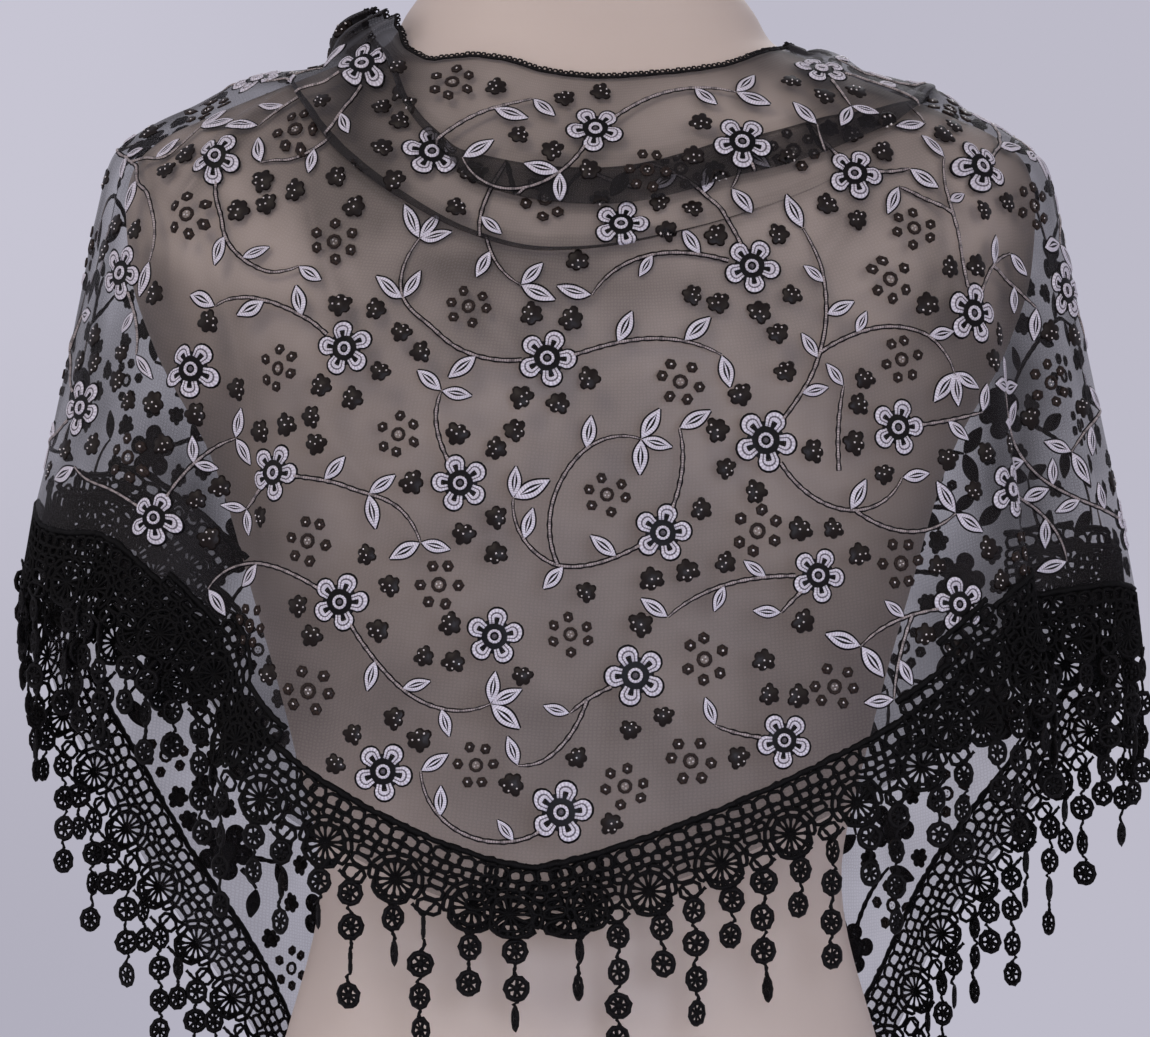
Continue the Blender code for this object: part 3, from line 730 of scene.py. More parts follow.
def planEmbroidery():
    made, centres, ringlets = Layout(), Layout(), Layout()
    plan = dict(flowers=[], vines=[], leaves=[], florets=[], dots=[])

    def place(kind, c, l, smallest, largest, whole=6.28):  # with a random turn and size
        plan[kind].append((c, l, rng.uniform(0, whole), rng.uniform(smallest, largest)))

    radius = layout["flowerRadius"]
    tryC, tryL = somewhere(layout["tries"])
    spot = clothGrid[..., :3] - np.array(layout["puffFlower"])
    i, j = np.unravel_index(np.argmin(np.linalg.norm(spot, axis=-1)), spot.shape[:2])
    for c, l in zip(np.append(j, tryC), np.append(i, tryL)):  # the first is the one on the shoulder's roll
        free = centres.clear(c, l, radius, layout["flowerEvery"] - 2 * radius)
        if free and (not plan["flowers"] or liesFlat(c, l, radius)):
            centres.add(c, l, radius)
            place("flowers", c, l, 0.93, 1.07, 2 * math.pi)
    made.discs = centres.discs
    radius = layout["dotRadius"]
    for c, l in zip(*somewhere(layout["dotTries"])):
        apart = layout["dotEvery"] - 2 * radius
        if made.clear(c, l, radius, layout["dotGap"]) and ringlets.clear(c, l, radius, apart):
            ringlets.add(c, l, radius)
            place("dots", c, l, 0.92, 1.08)
    made.discs = np.concatenate([made.discs, ringlets.discs])
    for c, l, turn, size in plan["flowers"]:
        turns = allRound(8) + rng.uniform(-0.08, 0.08, 8)
        fc, fl = away(c, l, turns, rng.uniform(*layout["floretOut"], 8) * size)
        for k in rng.permutation(8)[:5]:
            if made.clear(fc[k], fl[k], layout["floretRadius"], layout["floretGap"]):
                made.add(fc[k], fl[k], layout["floretDisc"])
                place("florets", fc[k], fl[k], 0.9, 1.12)
    for n, (c, l, turn, size) in enumerate(plan["flowers"]):
        for _ in range(2 if rng.random() < layout["twoVines"] else 1):
            rim = layout["flowerRadius"] * size * 0.84
            grown = layVine(made, plan, c, l, rim, allRound(vine["ways"]), skip=[n])
            if grown is not None and rng.random() < layout["forked"]:
                k = int(rng.uniform(8, 20))
                fork = grown[2][k] + rng.choice([-1.0, 1.0], 8) * rng.uniform(0.5, 0.9, 8)
                layVine(made, plan, grown[0][k], grown[1][k], 0.0004, fork, 0.018, grown[3])
    for c, l in zip(*somewhere(layout["looseVines"])):
        layVine(made, plan, c, l, 0.0005, allRound(14), 0.034)
    for c, l in zip(*somewhere(layout["dotTries"] // 3)):
        if made.clear(c, l, radius, layout["lateDotGap"]):
            made.add(c, l, radius)
            place("dots", c, l, 0.92, 1.08)
    count = 0
    for c, l in zip(*somewhere(layout["looseFlorets"])):
        free = made.clear(c, l, layout["floretRadius"], layout["looseFloretGap"])
        if count < layout["looseFloretCount"] and free:
            made.add(c, l, layout["floretRadius"])
            place("florets", c, l, 0.88, 1.06)
            count += 1
    return plan


def strip(bm, path, section, looks, closed=False, widths=None, begin=0.0):
    # a closed bar along a path: section is (sideways, up) all round it, one for the whole path or one
    # for each of its points, and looks are the materials round it
    path, section = np.asarray(path, float), np.asarray(section, float)
    if closed:
        tangent = unit(np.roll(path, -1, 0) - np.roll(path, 1, 0))
        tangent, path = np.vstack([tangent, tangent[:1]]), np.vstack([path, path[:1]])
    else:
        tangent = unit(np.gradient(path, axis=0))
    rows, ring = len(path), section.shape[-2]
    section = np.broadcast_to(section, (rows, ring, 2))
    looks = np.broadcast_to(looks, (rows - 1, ring))
    sideways = unit(np.cross((0.0, 0.0, 1.0), tangent))
    lift = np.cross(tangent, sideways)
    wide = np.ones((rows, 1)) if widths is None else np.asarray(widths)[:, None]
    at = (path[:, None] + sideways[:, None] * (section[..., 0] * wide)[..., None]
          + lift[:, None] * (section[..., 1] * np.minimum(wide, 1))[..., None])
    run = np.concatenate([[begin], begin + np.cumsum(np.linalg.norm(np.diff(path, axis=0), axis=-1))])
    uvLayer = bm.loops.layers.uv.get("thread") or bm.loops.layers.uv.new("thread")
    made = layGrid(bm, np.concatenate([at, at[:, :1]], axis=1))
    index = {vert: divmod(k, ring + 1) for k, vert in enumerate(made)}
    for face in {f for v in made for f in v.link_faces}:
        row, column = np.min([index[v] for v in face.verts], axis=0)
        face.material_index = int(looks[row, column])
        for loop in face.loops:
            row, column = index[loop.vert]
            loop[uvLayer].uv = (run[row], section[row, column % ring, 0])
    bmesh.ops.remove_doubles(bm, verts=made, dist=1e-7)
    if not closed:
        bmesh.ops.holes_fill(bm, edges=[e for e in bm.edges if e.is_boundary])


def coordinates(mesh):
    flat = np.empty(len(mesh.vertices) * 3, np.float32)
    mesh.vertices.foreach_get("co", flat)
    return flat.reshape(-1, 3).astype(float)


def repeatShape(name, shape, places, lengths=None):  # one array of points a copy, and each thread's length
    mesh = joinMeshes(name, [shape] * len(places))
    mesh.vertices.foreach_set("co", np.asarray(places, np.float32).reshape(-1))
    if lengths is not None:
        layer = mesh.uv_layers["thread"].data
        run = np.empty(len(layer) * 2, np.float32)
        layer.foreach_get("uv", run)
        run = run.reshape(len(places), -1, 2)
        run[..., 0] *= np.array(lengths)[:, None]
        layer.foreach_set("uv", run.reshape(-1))
    mesh.update()
    return mesh


def joinMeshes(name, meshes):
    bm = bmesh.new()
    for mesh in meshes:
        bm.from_mesh(mesh)
    return toMesh(bm, name)


def layMotifs(shape, motifs):  # the shape's points on the cloth for each place, turn and size
    x, y, z = coordinates(shape).T
    c, l, turn, size = (column[:, None] for column in np.array(motifs).T)
    rx = (x * np.cos(turn) - y * np.sin(turn)) * size
    ry = (x * np.sin(turn) + y * np.cos(turn)) * size
    on = sample(*shift(c, l, rx, ry))
    return on[..., :3] + unit(on[..., 4:7]) * z[:, None]


black, white, grey, glint, nicked = 0, 1, 2, 3, 3  # threads; the fourth is the painted glint on the spangles and the couched cord on the vines
satin = dict(rim=0.00078, height=0.0009, base=0.00008)
flower = dict(petals=5, middle=0.0083, long=0.0022, wide=0.00262, open=2.0, legOut=0.0054, legSide=0.0019,
              width=0.0031, tip=1.25, leg=0.80, groove=0.00022, ring=0.0026, ringWidth=0.0012, base=0.0079)


def strokeSection(width, height, groove=0.0, rim=None):  # a satin bar with a dark rim, and a groove if any
    w, rim, base = width / 2, rim or satin["rim"], satin["base"]
    points = [(-w - rim, base), (-w, base * 2.4), (-w * 0.62, height)]
    looks = [black, white]
    if groove:
        points += [(-groove * 1.4, height * 0.94), (0, height * 0.45), (groove * 1.4, height * 0.94)]
        looks += [white, grey, grey]
    points += [(w * 0.62, height), (w, base * 2.4), (w + rim, base)]
    looks += [white, white, black, black]
    return points, looks


def stud(bm, segments, low, high, depth, place=(0, 0, 0), look=black, fan=False):  # a small tapered disc
    made = bmesh.ops.create_cone(bm, cap_ends=True, cap_tris=fan, segments=segments, radius1=low,
                                 radius2=high, depth=depth)["verts"]
    bmesh.ops.translate(bm, verts=made, vec=place)
    for face in {f for v in made for f in v.link_faces}:
        face.material_index = look
    return made


def flowerShape():  # five open petals of grooved satin and a ring, on a dark round base
    bm = bmesh.new()
    section, looks = strokeSection(flower["width"], satin["height"], flower["groove"])
    arc = np.linspace(-flower["open"], flower["open"], 11)
    x = flower["middle"] + np.cos(arc) * flower["long"]
    y = np.sin(arc) * flower["wide"]
    x = np.concatenate([[flower["legOut"]], x, [flower["legOut"]]])
    y = np.concatenate([[-flower["legSide"]], y, [flower["legSide"]]])
    petal = np.stack([x, y, 0 * x], axis=-1)
    widths = flower["leg"] + (flower["tip"] - flower["leg"]) * np.clip((x - 0.0068) / 0.0036, 0, 1) ** 1.3
    for k in range(flower["petals"]):
        turn = k * 2 * math.pi / flower["petals"]
        x, y = math.cos(turn), math.sin(turn)
        strip(bm, petal @ np.array([[x, y, 0], [-y, x, 0], [0, 0, 1]]), section, looks, widths=widths)
    section, looks = strokeSection(flower["ringWidth"], 0.0011, rim=0.0004)
    strip(bm, flatRing(circle(12), flower["ring"]) + [0, 0, 0.0002], section, looks, closed=True)
    base = stud(bm, 15, flower["base"], flower["base"] * 0.96, 0.00012, (0, 0, 0.00022), fan=True)
    radial = {e for v in base if v.co.xy.length < 1e-5 for e in v.link_edges}
    bmesh.ops.subdivide_edges(bm, edges=list(radial), cuts=1, use_grid_fill=True)
    stud(bm, 8, 0.0012, 0.0007, 0.0007, (0, 0, 0.0006), grey)
    return closeShape("flowerShape", bm)


def leafShape():  # a satin almond with a dark rim and a slit down its middle, along x
    bm = bmesh.new()
    t = np.linspace(0, 1, leaf["steps"] + 1)
    half = leaf["width"] / 2 * np.sin(math.pi * t ** 0.92) ** 0.80
    slit = leaf["slit"] * np.clip(np.sin(math.pi * np.clip((t - 0.15) / 0.68, 0, 1)), 0, 1)
    high = leaf["height"] * np.clip(np.sin(math.pi * t) * 3, 0.25, 1)
    low = satin["base"] + 0 * t
    across = np.stack([half + satin["rim"], half, half * 0.6 + slit * 0.3, slit, slit * 0.3], axis=-1)
    up = np.stack([low, low * 2.4, high, high * 0.85, high * 0.8], axis=-1)
    section = np.stack([np.hstack([-across, across[:, ::-1]]), np.hstack([up, up[:, ::-1]])], axis=-1)
    cut = np.where(slit[:-1] + slit[1:] > 2e-4, black, white)[:, None]
    looks = np.array([black, white, white, grey, white, grey, white, white, black, black])
    looks = np.where(looks == grey, cut, looks)
    x = leaf["start"] + leaf["length"] * t
    x[0] -= 0.0006
    x[-1] += 0.0006
    strip(bm, np.stack([x, 0 * x, 0 * x], axis=-1), section, looks, begin=x[0])
    return closeShape("leafShape", bm)


def glintSpeck(bm, x, y, size, top):  # a painted glint: a small pale bead standing in for light caught off a spangle
    stud(bm, 4, size, size * 0.5, 0.0004, (x, y, top), glint)


floret = dict(lobes=6, radius=0.0051, waist=0.0039, height=0.0006)


def floretShape():  # a sequin flower: six rounded points, a flat top and four painted glints
    bm = bmesh.new()
    bm.loops.layers.uv.new("thread")
    for vert in stud(bm, 4 * floret["lobes"], 1, 0.8, 1):
        x, y, z = vert.co
        turn = math.atan2(y, x)
        point = abs(math.cos(floret["lobes"] / 2 * turn)) ** 0.6
        uneven = 1 + 0.08 * math.sin(3 * turn + 1) + 0.05 * math.sin(2 * turn)
        out = (floret["waist"] + (floret["radius"] - floret["waist"]) * point) * uneven
        out *= 0.82 if z > 0 else 1
        vert.co = (math.cos(turn) * out, math.sin(turn) * out, floret["height"] if z > 0 else satin["base"])
    for x, y, size in ((0.0023, 0.0013, 0.0005), (-0.0006, -0.0030, 0.00055), (0.0020, -0.0021, 0.0005),
                       (0.0001, 0.0001, 0.00055)):
        glintSpeck(bm, x, y, size, 0.0008)
    return closeShape("floretShape", bm)


dotRing = dict(count=6, out=0.0084, dot=0.00160, dotWidth=0.0024, ring=0.0027, ringWidth=0.0017)


def dotShape():  # a ringlet with three painted glints in it and six small dots round it, each with a painted glint
    bm = bmesh.new()

    def bar(path, width):
        w = width / 2
        section = [(-w, 0.0001), (-w * 0.7, 0.0008), (w * 0.7, 0.0008), (w, 0.0001)]
        strip(bm, path, section, black, closed=True)

    bar(flatRing(circle(9), dotRing["ring"]), dotRing["ringWidth"])
    for x, y in ((0.0007, 0.0006), (-0.0009, 0.0002), (0.0002, -0.0009)):
        glintSpeck(bm, x, y, 0.0005, 0.0005)
    for k in range(dotRing["count"]):
        out = k * 2 * math.pi / dotRing["count"] + 0.15 * math.sin(k * 2.3)
        reach = dotRing["out"] + 0.0004 * math.sin(k * 1.7)
        x, y = math.cos(out) * reach, math.sin(out) * reach
        corner = circle(6) + k * 1.1 + 0.25 * np.sin(np.arange(6) * 2.1 + k)
        bar(flatRing(corner, dotRing["dot"]) + [x, y, 0], dotRing["dotWidth"])
        glintSpeck(bm, x + 0.0002, y - 0.0002, 0.00075, 0.0006)
    return closeShape("dotShape", bm)


def vineMesh(vines):  # a couched cord, one strip a vine, a little lumpy and thinner at its tip
    bm = bmesh.new()
    steps = vine["steps"]
    t = np.linspace(0, 1, steps + 1)
    section, looks = strokeSection(vine["width"], vine["height"], rim=vine["rim"])
    looks = [nicked if look == white else look for look in looks]
    strip(bm, np.stack([t, 0 * t, 0 * t], axis=-1), section, looks)
    shape = closeShape("vineShape", bm)
    local = coordinates(shape)
    k = np.rint(local[:, 0] * steps).astype(int)
    thin = 1 - 0.5 * t ** 5
    places = []
    for vc, vl, long in vines:
        s = sample(vc, vl)
        normal, tangent = unit(s[:, 4:7]), unit(np.gradient(s[:, :3], axis=0))
        wobble = 1 + vine["wobble"] * np.sin(t * long / vine["wobbleEvery"] * 2 * math.pi)
        places.append(s[k, :3] + np.cross(normal, tangent)[k] * (local[:, 1] * thin[k] * wobble[k])[:, None]
                      + normal[k] * (local[:, 2] * thin[k])[:, None])
    return repeatShape("vines", shape, places, [long for vc, vl, long in vines])


def threadMaterial(name, light, dark, sheen=0, stitch=0.0011, rough=0.45, gloss=0.3, nick=0.0):
    # thread laid in stitches: fine bands across it, with painted highlight on their crowns and painted
    # shade between them; a wave's bands are 0.314 / scale apart, and stitches of 0.4 mm would not show, so
    # they are drawn about 1 mm apart
    made, tree, shader = newMaterial(name, {
        "Roughness": rough, "Sheen Weight": sheen, "Specular IOR Level": gloss})
    at = addNode(tree, "ShaderNodeUVMap", {"uv_map": "thread"}).outputs["UV"]
    place = addNode(tree, "ShaderNodeTexCoord").outputs["Object"]
    stitches = addNode(tree, "ShaderNodeTexWave", {"bands_direction": "X"},
                       {"Vector": at, "Scale": 0.314 / stitch, "Distortion": 2.0, "Detail": 1.0})
    mottle = addNode(tree, "ShaderNodeTexNoise", None, {"Vector": place, "Scale": 260.0, "Detail": 2.0})
    # painted highlight on the stitch crowns and painted shade between them, varied by a random mottle
    crownShineAndMottle = addNode(tree, "ShaderNodeMath", {"operation": "MULTIPLY"},
                    {0: stitches.outputs["Fac"], 1: mottle.outputs["Fac"]})
    tint = addNode(tree, "ShaderNodeMix", {"data_type": "RGBA"},
                   {"Factor": crownShineAndMottle.outputs[0], "A": linear(dark), "B": linear(light)})
    colour = tint.outputs["Result"]
    if nick:  # the couching thread crosses the cord every so often
        cross = addNode(tree, "ShaderNodeTexWave", {"bands_direction": "X"},
                        {"Vector": at, "Scale": 0.314 / nick, "Distortion": 6.0, "Detail": 1.0})
        mark = addNode(tree, "ShaderNodeMapRange", None,
                       {"Value": cross.outputs["Fac"], "From Min": 0.80, "From Max": 0.97, "To Max": 0.6})
        crossed = addNode(tree, "ShaderNodeMix", {"data_type": "RGBA"},
                          {"Factor": mark.outputs[0], "A": colour, "B": linear("#1a1718")})
        colour = crossed.outputs["Result"]
    tree.links.new(colour, shader.inputs["Base Color"])
    relief = addNode(tree, "ShaderNodeBump", None,
                     {"Strength": 0.5, "Distance": 0.0002, "Height": stitches.outputs["Fac"]})
    tree.links.new(relief.outputs["Normal"], shader.inputs["Normal"])
    return made


def paintedGlintMaterial():  # painted highlight: pale, glossy bits standing in for the spangles' small hard glints
    return newMaterial("paintedSequinGlint", {"Base Color": linear("#cfc9c6"), "Roughness": 0.18})[0]


def makeEmbroidery(plan):
    # viscose rayon: the black is dull, and the white and grey satin has a soft sheen
    threads = [threadMaterial("blackRayonThread", "#141114", "#060506", gloss=0.12),
               threadMaterial("whiteRayonSatin", "#dfdce3", "#a5a0a8", 0.15, gloss=0.4),
               threadMaterial("greyRayonSatin", "#7b767d", "#4a454b", 0.1)]
    # dark brown spangles, stitched down, with painted glints on them
    brown = [threadMaterial("brownBlackSpangle", "#36271f", "#130c09", rough=0.4, gloss=0.15),
             *threads[1:], paintedGlintMaterial()]
    # a pale rayon cord, sewn down with black thread about every 7.5 mm
    cordThread = threadMaterial("couchedRayonCord", "#b8aeab", "#6e6462", 0.1, gloss=0.4, nick=0.0075)

    def laid(kind, shape):
        return repeatShape(kind, shape, layMotifs(shape, plan[kind]))

    pieces = (
        ("embroideredFlowers", threads, [laid("flowers", flowerShape())]),
        ("embroideredVines", [*threads, cordThread],
         [vineMesh(plan["vines"]), laid("leaves", leafShape())]),
        ("sequinFlorets", brown, [laid("florets", floretShape()), laid("dots", dotShape())]),
    )
    return [finishPiece(name, joinMeshes(name, parts), looks) for name, looks, parts in pieces]


lace = dict(unit=0.032, wheelAt=0.0232, wheel=0.0078, slotsAt=0.0096, spokes=13, variants=4, hang=0.35,
            frameEvery=0.001, soften=0.007, heading=0.0015, yarn=0.00090, rim=0.00078, spoke=0.00068,
            sideHoles=5.6, footBars=(134, 149, 164, 180, 196, 211, 226),
            middleHoles=((14.3, 3.6, 1.7), (17.9, 4.8, 2.3), (22.4, 7.0, 3.4), (28.7, 7.2, 4.6)),
            foldWave=0.0022, foldScale=0.97, cornerAt=(-0.0190, 0.0066), cornerScale=(0.8, 0.96),
            cornerOut=0.0022)
# Rows of holes over the wheels: how many, where they begin as a share of a step, how far each strays
# along, how far down they are, how wide and high in millimetres, and how far one may be turned.
laceHoles = table(
    "holes begin loose down wide high turned",
    (5, 0.5, 0.7, 5.8, 4.9, 3.7, 0.35), (7, 0.3, 0.4, 10.5, 3, 2.3, 0.5),
)
# Runs of the border that show again at the side folds: where, how deep inside it (just outside where
# that is below zero), how much higher, how far shifted along, and whether fringe hangs from them.
laceFolds = table(
    "fromAround toAround inside raised shift variant fringed",
    (-0.52, -0.215, 0.005, 0.02, 0.5, 0, True), (-0.47, -0.235, 0.0095, 0.034, 0.1, 2, False),
    (-0.49, -0.225, 0.012, -0.015, 0.3, 1, True), (0.285, 0.5, 0.012, -0.014, 0.3, 0, True),
    (0.19, 0.345, -0.001, 0.017, 0.4, 2, False), (-0.285, -0.15, -0.001, 0.012, 0.4, 3, False),
    (0.27, 0.52, 0.005, 0.02, 0.5, 1, True), (0.29, 0.47, 0.0095, 0.03, 0.1, 3, False),
)
fringe = dict(apart=0.0150, medallion=0.0059, threadRadius=0.00078, ring=0.00128, ringHigh=0.0008,
              spokes=7, spoke=0.00070, hub=0.0018, variants=3, sway=0.0024, shortAt=0.56,
              long=(0.0046, 4), short=(0.0078, 2),  # the first medallion's distance down, and how many
              longDown=0.0330, shortDown=0.0320, endGap=0.007, jitter=0.0012,
              gatherHigh=0.0052, gatherWide=0.0050, slack=0.0013)
edging = dict(unit=0.012, picots=5, cord=0.00075, loop=0.00050, loopRadius=0.00095, loopOut=0.0008,
              frameEvery=0.001, soften=0.004, endGap=4)


def evenFrames(place, down, normal, every, soften):  # frames at even steps along a line
    run = np.concatenate([[0], np.cumsum(np.linalg.norm(np.diff(place, axis=0), axis=-1))])
    count = int(run[-1] / every)
    at = np.linspace(0, run[-1], count + 1)
    known = np.concatenate([place, down, normal], axis=-1)
    frames = np.stack([np.interp(at, run, column) for column in known.T], axis=-1)
    width = max(1, int(soften / every))
    window = np.hanning(2 * width + 3)[1:-1]
    window /= window.sum()
    for k in range(3, 9):
        padded = np.pad(frames[:, k], width, mode="edge")
        frames[:, k] = np.convolve(padded, window, mode="valid")
    frames[:, 3:6], frames[:, 6:9] = unit(frames[:, 3:6]), unit(frames[:, 6:9])
    return frames, run[-1]


def onFrames(frames, total, along, down, out):  # places along a line of frames, down from it and outwards
    at = np.clip(along / total, 0, 1) * (len(frames) - 1)
    k = np.clip(at.astype(int), 0, len(frames) - 2)
    t = (at - k)[..., None]
    f = frames[k] * (1 - t) + frames[k + 1] * t
    return f[..., :3] + f[..., 3:6] * down[..., None] + f[..., 6:9] * out[..., None]


def hemFrames(point):  # the line that the border hangs from
    place = point[-1]
    along = unit(np.gradient(place, axis=0))
    down = point[-1] - point[-5]
    down = unit(down - along * np.sum(down * along, axis=-1, keepdims=True))
    fall = np.array([0, 0, -1.0]) - along * (-along[:, 2:3])
    down = unit(down * (1 - lace["hang"]) + unit(fall) * lace["hang"])
    return evenFrames(place, down, unit(np.cross(down, along)), lace["frameEvery"], lace["soften"])


def cord(bm, path, radius, closed=False, flat=1.0, widths=None):  # a thin four-sided cord
    section = [(-radius, 0), (0, radius * flat), (radius, 0), (0, -radius * flat)]
    strip(bm, path, section, black, closed=closed, widths=widths)


def lacePath(points, wobble=0.0, seed=0):  # millimetres along and down, to metres
    path = np.array(points, float)
    path[1:-1] += np.random.default_rng(seed).uniform(-wobble, wobble, path[1:-1].shape)
    return np.stack([path[:, 0], -path[:, 1], 0 * path[:, 0]], axis=-1) * millimetre


def laceShape(variant):  # one wheel of the border with the holes over and round it, worked in millimetres
    bm = bmesh.new()
    some = np.random.default_rng(60 + variant)
    long, middle, wheel, slots, thick = (lace[key] / millimetre
                                         for key in ("unit", "wheelAt", "wheel", "slotsAt", "yarn"))
    yarn = lace["yarn"]

    def stray(much):
        return some.uniform(-much, much)

    def hole(x, y, wide, high, turn):
        a = (np.arange(8) + 0.5) * 2 * math.pi / 8 + stray(0.25)
        half = np.array([wide, high]) / 2 * (1 + np.array([stray(0.10), stray(0.12)])) + thick
        px = np.sign(np.cos(a)) * np.abs(np.cos(a)) ** 0.75 * half[0]
        py = np.sign(np.sin(a)) * np.abs(np.sin(a)) ** 0.75 * half[1]
        spot = np.stack([x + px * math.cos(turn) - py * math.sin(turn),
                         y + px * math.sin(turn) + py * math.cos(turn)], -1)
        cord(bm, lacePath(spot), yarn, closed=True)

    def wheelPoint(turn, radius):
        spot = long / 2 + np.sin(turn) * radius, middle - np.cos(turn) * radius
        return np.stack(np.broadcast_arrays(*spot), -1)

    span = np.linspace(-0.2, long + 0.2, 18)
    cord(bm, lacePath(np.stack([span, 1.2 + 0 * span], -1), 0.32, variant), lace["heading"], flat=0.7,
         widths=[1, *some.uniform(0.72, 1.18, 16), 1])
    for row in laceHoles:
        for k in range(row.holes):
            x = (k + row.begin) * long / row.holes + stray(row.loose)
            hole(x, row.down + stray(0.4), row.wide, row.high, stray(row.turned))
    for y, wide, high in lace["middleHoles"]:
        hole(stray(0.2), y + stray(0.15), wide, high, stray(0.14))
    for x in (lace["sideHoles"], long - lace["sideHoles"]):
        hole(x + stray(0.3), 14.5 + stray(0.2), 2.7, 1.7, stray(0.3))
    for turn in np.radians(np.arange(-99, 100, 33.0)):
        hole(*wheelPoint(turn + stray(0.05), slots), 4.0, 1.3, turn + stray(0.10))
    cord(bm, lacePath(wheelPoint(circle(20), wheel), 0.25, variant + 20), lace["rim"], closed=True)
    for k in range(lace["spokes"]):
        turn = k * 2 * math.pi / lace["spokes"] + stray(0.07)
        spoke = lacePath(wheelPoint(turn, np.array([0.6, wheel * 0.70, wheel - 0.2])))
        cord(bm, spoke, lace["spoke"], widths=[1.0, 1.0, 2.1])
    stud(bm, 7, 0.0012, 0.0009, 0.0012, (lace["unit"] / 2, -lace["wheelAt"], 0))
    foot = wheelPoint(np.radians(np.linspace(124, 236, 10)), 10.0)
    foot[[0, -1]] = wheelPoint(np.radians([114, 246]), 8.4)
    cord(bm, lacePath(foot, 0.2, variant + 40), yarn * 1.15)
    for turn in np.radians(lace["footBars"]):
        cord(bm, lacePath(wheelPoint(turn + stray(0.08), np.array([wheel, 10.0]))), yarn)
    return closeShape("laceShape", bm)


def layAlong(shape, frames, total, long, first=0, every=1):  # one shape after another along a line
    count = max(1, round(total / long))
    pitch = total / count
    x, y, z = coordinates(shape).T
    return [onFrames(frames, total, (n * long + x) * pitch / long, -y, z)
            for n in range(first, count, every)]


def foldedRuns(total):  # places where the border shows again, inside the side folds and beside them
    length = np.concatenate([[0], np.cumsum(np.linalg.norm(np.diff(netPoint[-1], axis=0), axis=-1))])
    for fold in laceFolds:
        first, last = np.interp([fold.fromAround, fold.toAround], around, length) / length[-1] * total
        for n in range(int((last - first) / lace["unit"])):
            start = first + (n + fold.shift) * lace["unit"]
            part = min(max((start - first) / (last - first), 0), 1)
            arch = fold.raised * math.sin(math.pi * part) ** 0.7
            yield n, start, fold, arch + lace["foldWave"] * math.sin(2.4 * n)


def makeLace(frames, total):
    shapes = [laceShape(k) for k in range(lace["variants"])]
    meshes = []
    for k, shape in enumerate(shapes):
        places = layAlong(shape, frames, total, lace["unit"], k, len(shapes))
        x, y, z = coordinates(shape).T
        for n, start, fold, raised in foldedRuns(total):
            if (n + fold.variant) % len(shapes) == k:
                along = start + x * lace["foldScale"]
                places.append(onFrames(frames, total, along, -y - raised, z - fold.inside))
        if k == 0:  # the border is folded over itself where it turns the corner at the back
            tip = frames[:, 2] + 10 * (frames[:, 1] > 0)
            corner = np.argmin(tip) / (len(frames) - 1) * total
            wide, high = lace["cornerScale"]
            for start in lace["cornerAt"]:
                along = corner + start + x * wide
                places.append(onFrames(frames, total, along, -y * high, z + lace["cornerOut"]))
        meshes.append(repeatShape("laceRun", shape, places))
    # spun cotton, crocheted and dyed black: matt
    thread = threadMaterial("blackCottonCrochet", "#110f10", "#040404", stitch=0.0009, rough=0.7, gloss=0.1)
    piece = finishPiece("laceBorder", joinMeshes("laceBorder", meshes), [thread])
    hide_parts(*[f"lace_{run}_{side}" for run in ("back", "side", "tail")
                         for side in ("left", "right")])
    return piece


def medallionShape(variant):  # a crocheted ring with uneven spokes
    bm = bmesh.new()
    some = np.random.default_rng(90 + variant)
    turn, half = circle(18), fringe["ring"]
    out = fringe["medallion"] - half + 0.00018 * np.cos(turn * 9) + some.uniform(-0.00024, 0.00024, 18)
    cord(bm, flatRing(turn, out), half, closed=True, flat=fringe["ringHigh"] / half)
    for k in range(fringe["spokes"]):
        a = k * 2 * math.pi / fringe["spokes"] + some.uniform(-0.16, 0.16)
        way = np.array([math.cos(a), math.sin(a), 0])
        spoke = [way * 0.0012, way * (fringe["medallion"] - 1.6 * half)]
        cord(bm, spoke, fringe["spoke"] * some.uniform(0.8, 1.5))
    stud(bm, 8, fringe["hub"], fringe["hub"] * 0.8, 0.0013)
    return closeShape("medallionShape", bm)


def threadShape():  # a knotted thread of unit length, for layBar
    bm = bmesh.new()
    r = fringe["threadRadius"]
    along = np.linspace(0, 1, 6)
    section = [(-r, -r * 0.5), (0, r), (r, -r * 0.5)]
    strip(bm, np.stack([along, 0 * along, 0 * along], -1), section, black,
          widths=[1.2, 0.85, 1.25, 0.9, 1.3, 1.0])
    return closeShape("threadShape", bm)


def strandPlaces(frames, total):  # where each strand hangs, which way it faces and whether it is a long one
    units = round(total / lace["unit"])
    pitch = total / units
    spots = []
    for k in range(units * 2 + 1):
        long = k % 2 == 0
        along = (k // 2 + (0 if long else fringe["shortAt"])) * pitch
        if along <= total:
            along = min(max(along, fringe["endGap"]), total - fringe["endGap"])
            spots.append((along, fringe["longDown" if long else "shortDown"], 0.0, long))
    for _, start, fold, raised in foldedRuns(total):
        if fold.fringed:
            spots.append((start, fringe["longDown"] + raised, -fold.inside, False))
    for along, start, out, long in spots:
        at = np.array([along, along + 0.004, along - 0.004])
        anchor, ahead, behind = onFrames(frames, total, at, np.full(3, start), np.full(3, out))
        yield anchor, unit((ahead - behind) * [1, 1, 0]), long


def layBar(bar, first, last, face, stray):  # a knotted thread from one place to another
    reach = last - first
    u = unit(reach)
    v = unit(np.cross(u, face))
    along, side, up = bar.T[..., None]
    bend = rng.uniform(-stray, stray, 2)
    off = bend[0] * np.sin(along * math.pi) + bend[1] * 0.7 * np.sin(along * 2 * math.pi)
    return first + along * reach + (side + off) * v + up * np.cross(u, v)


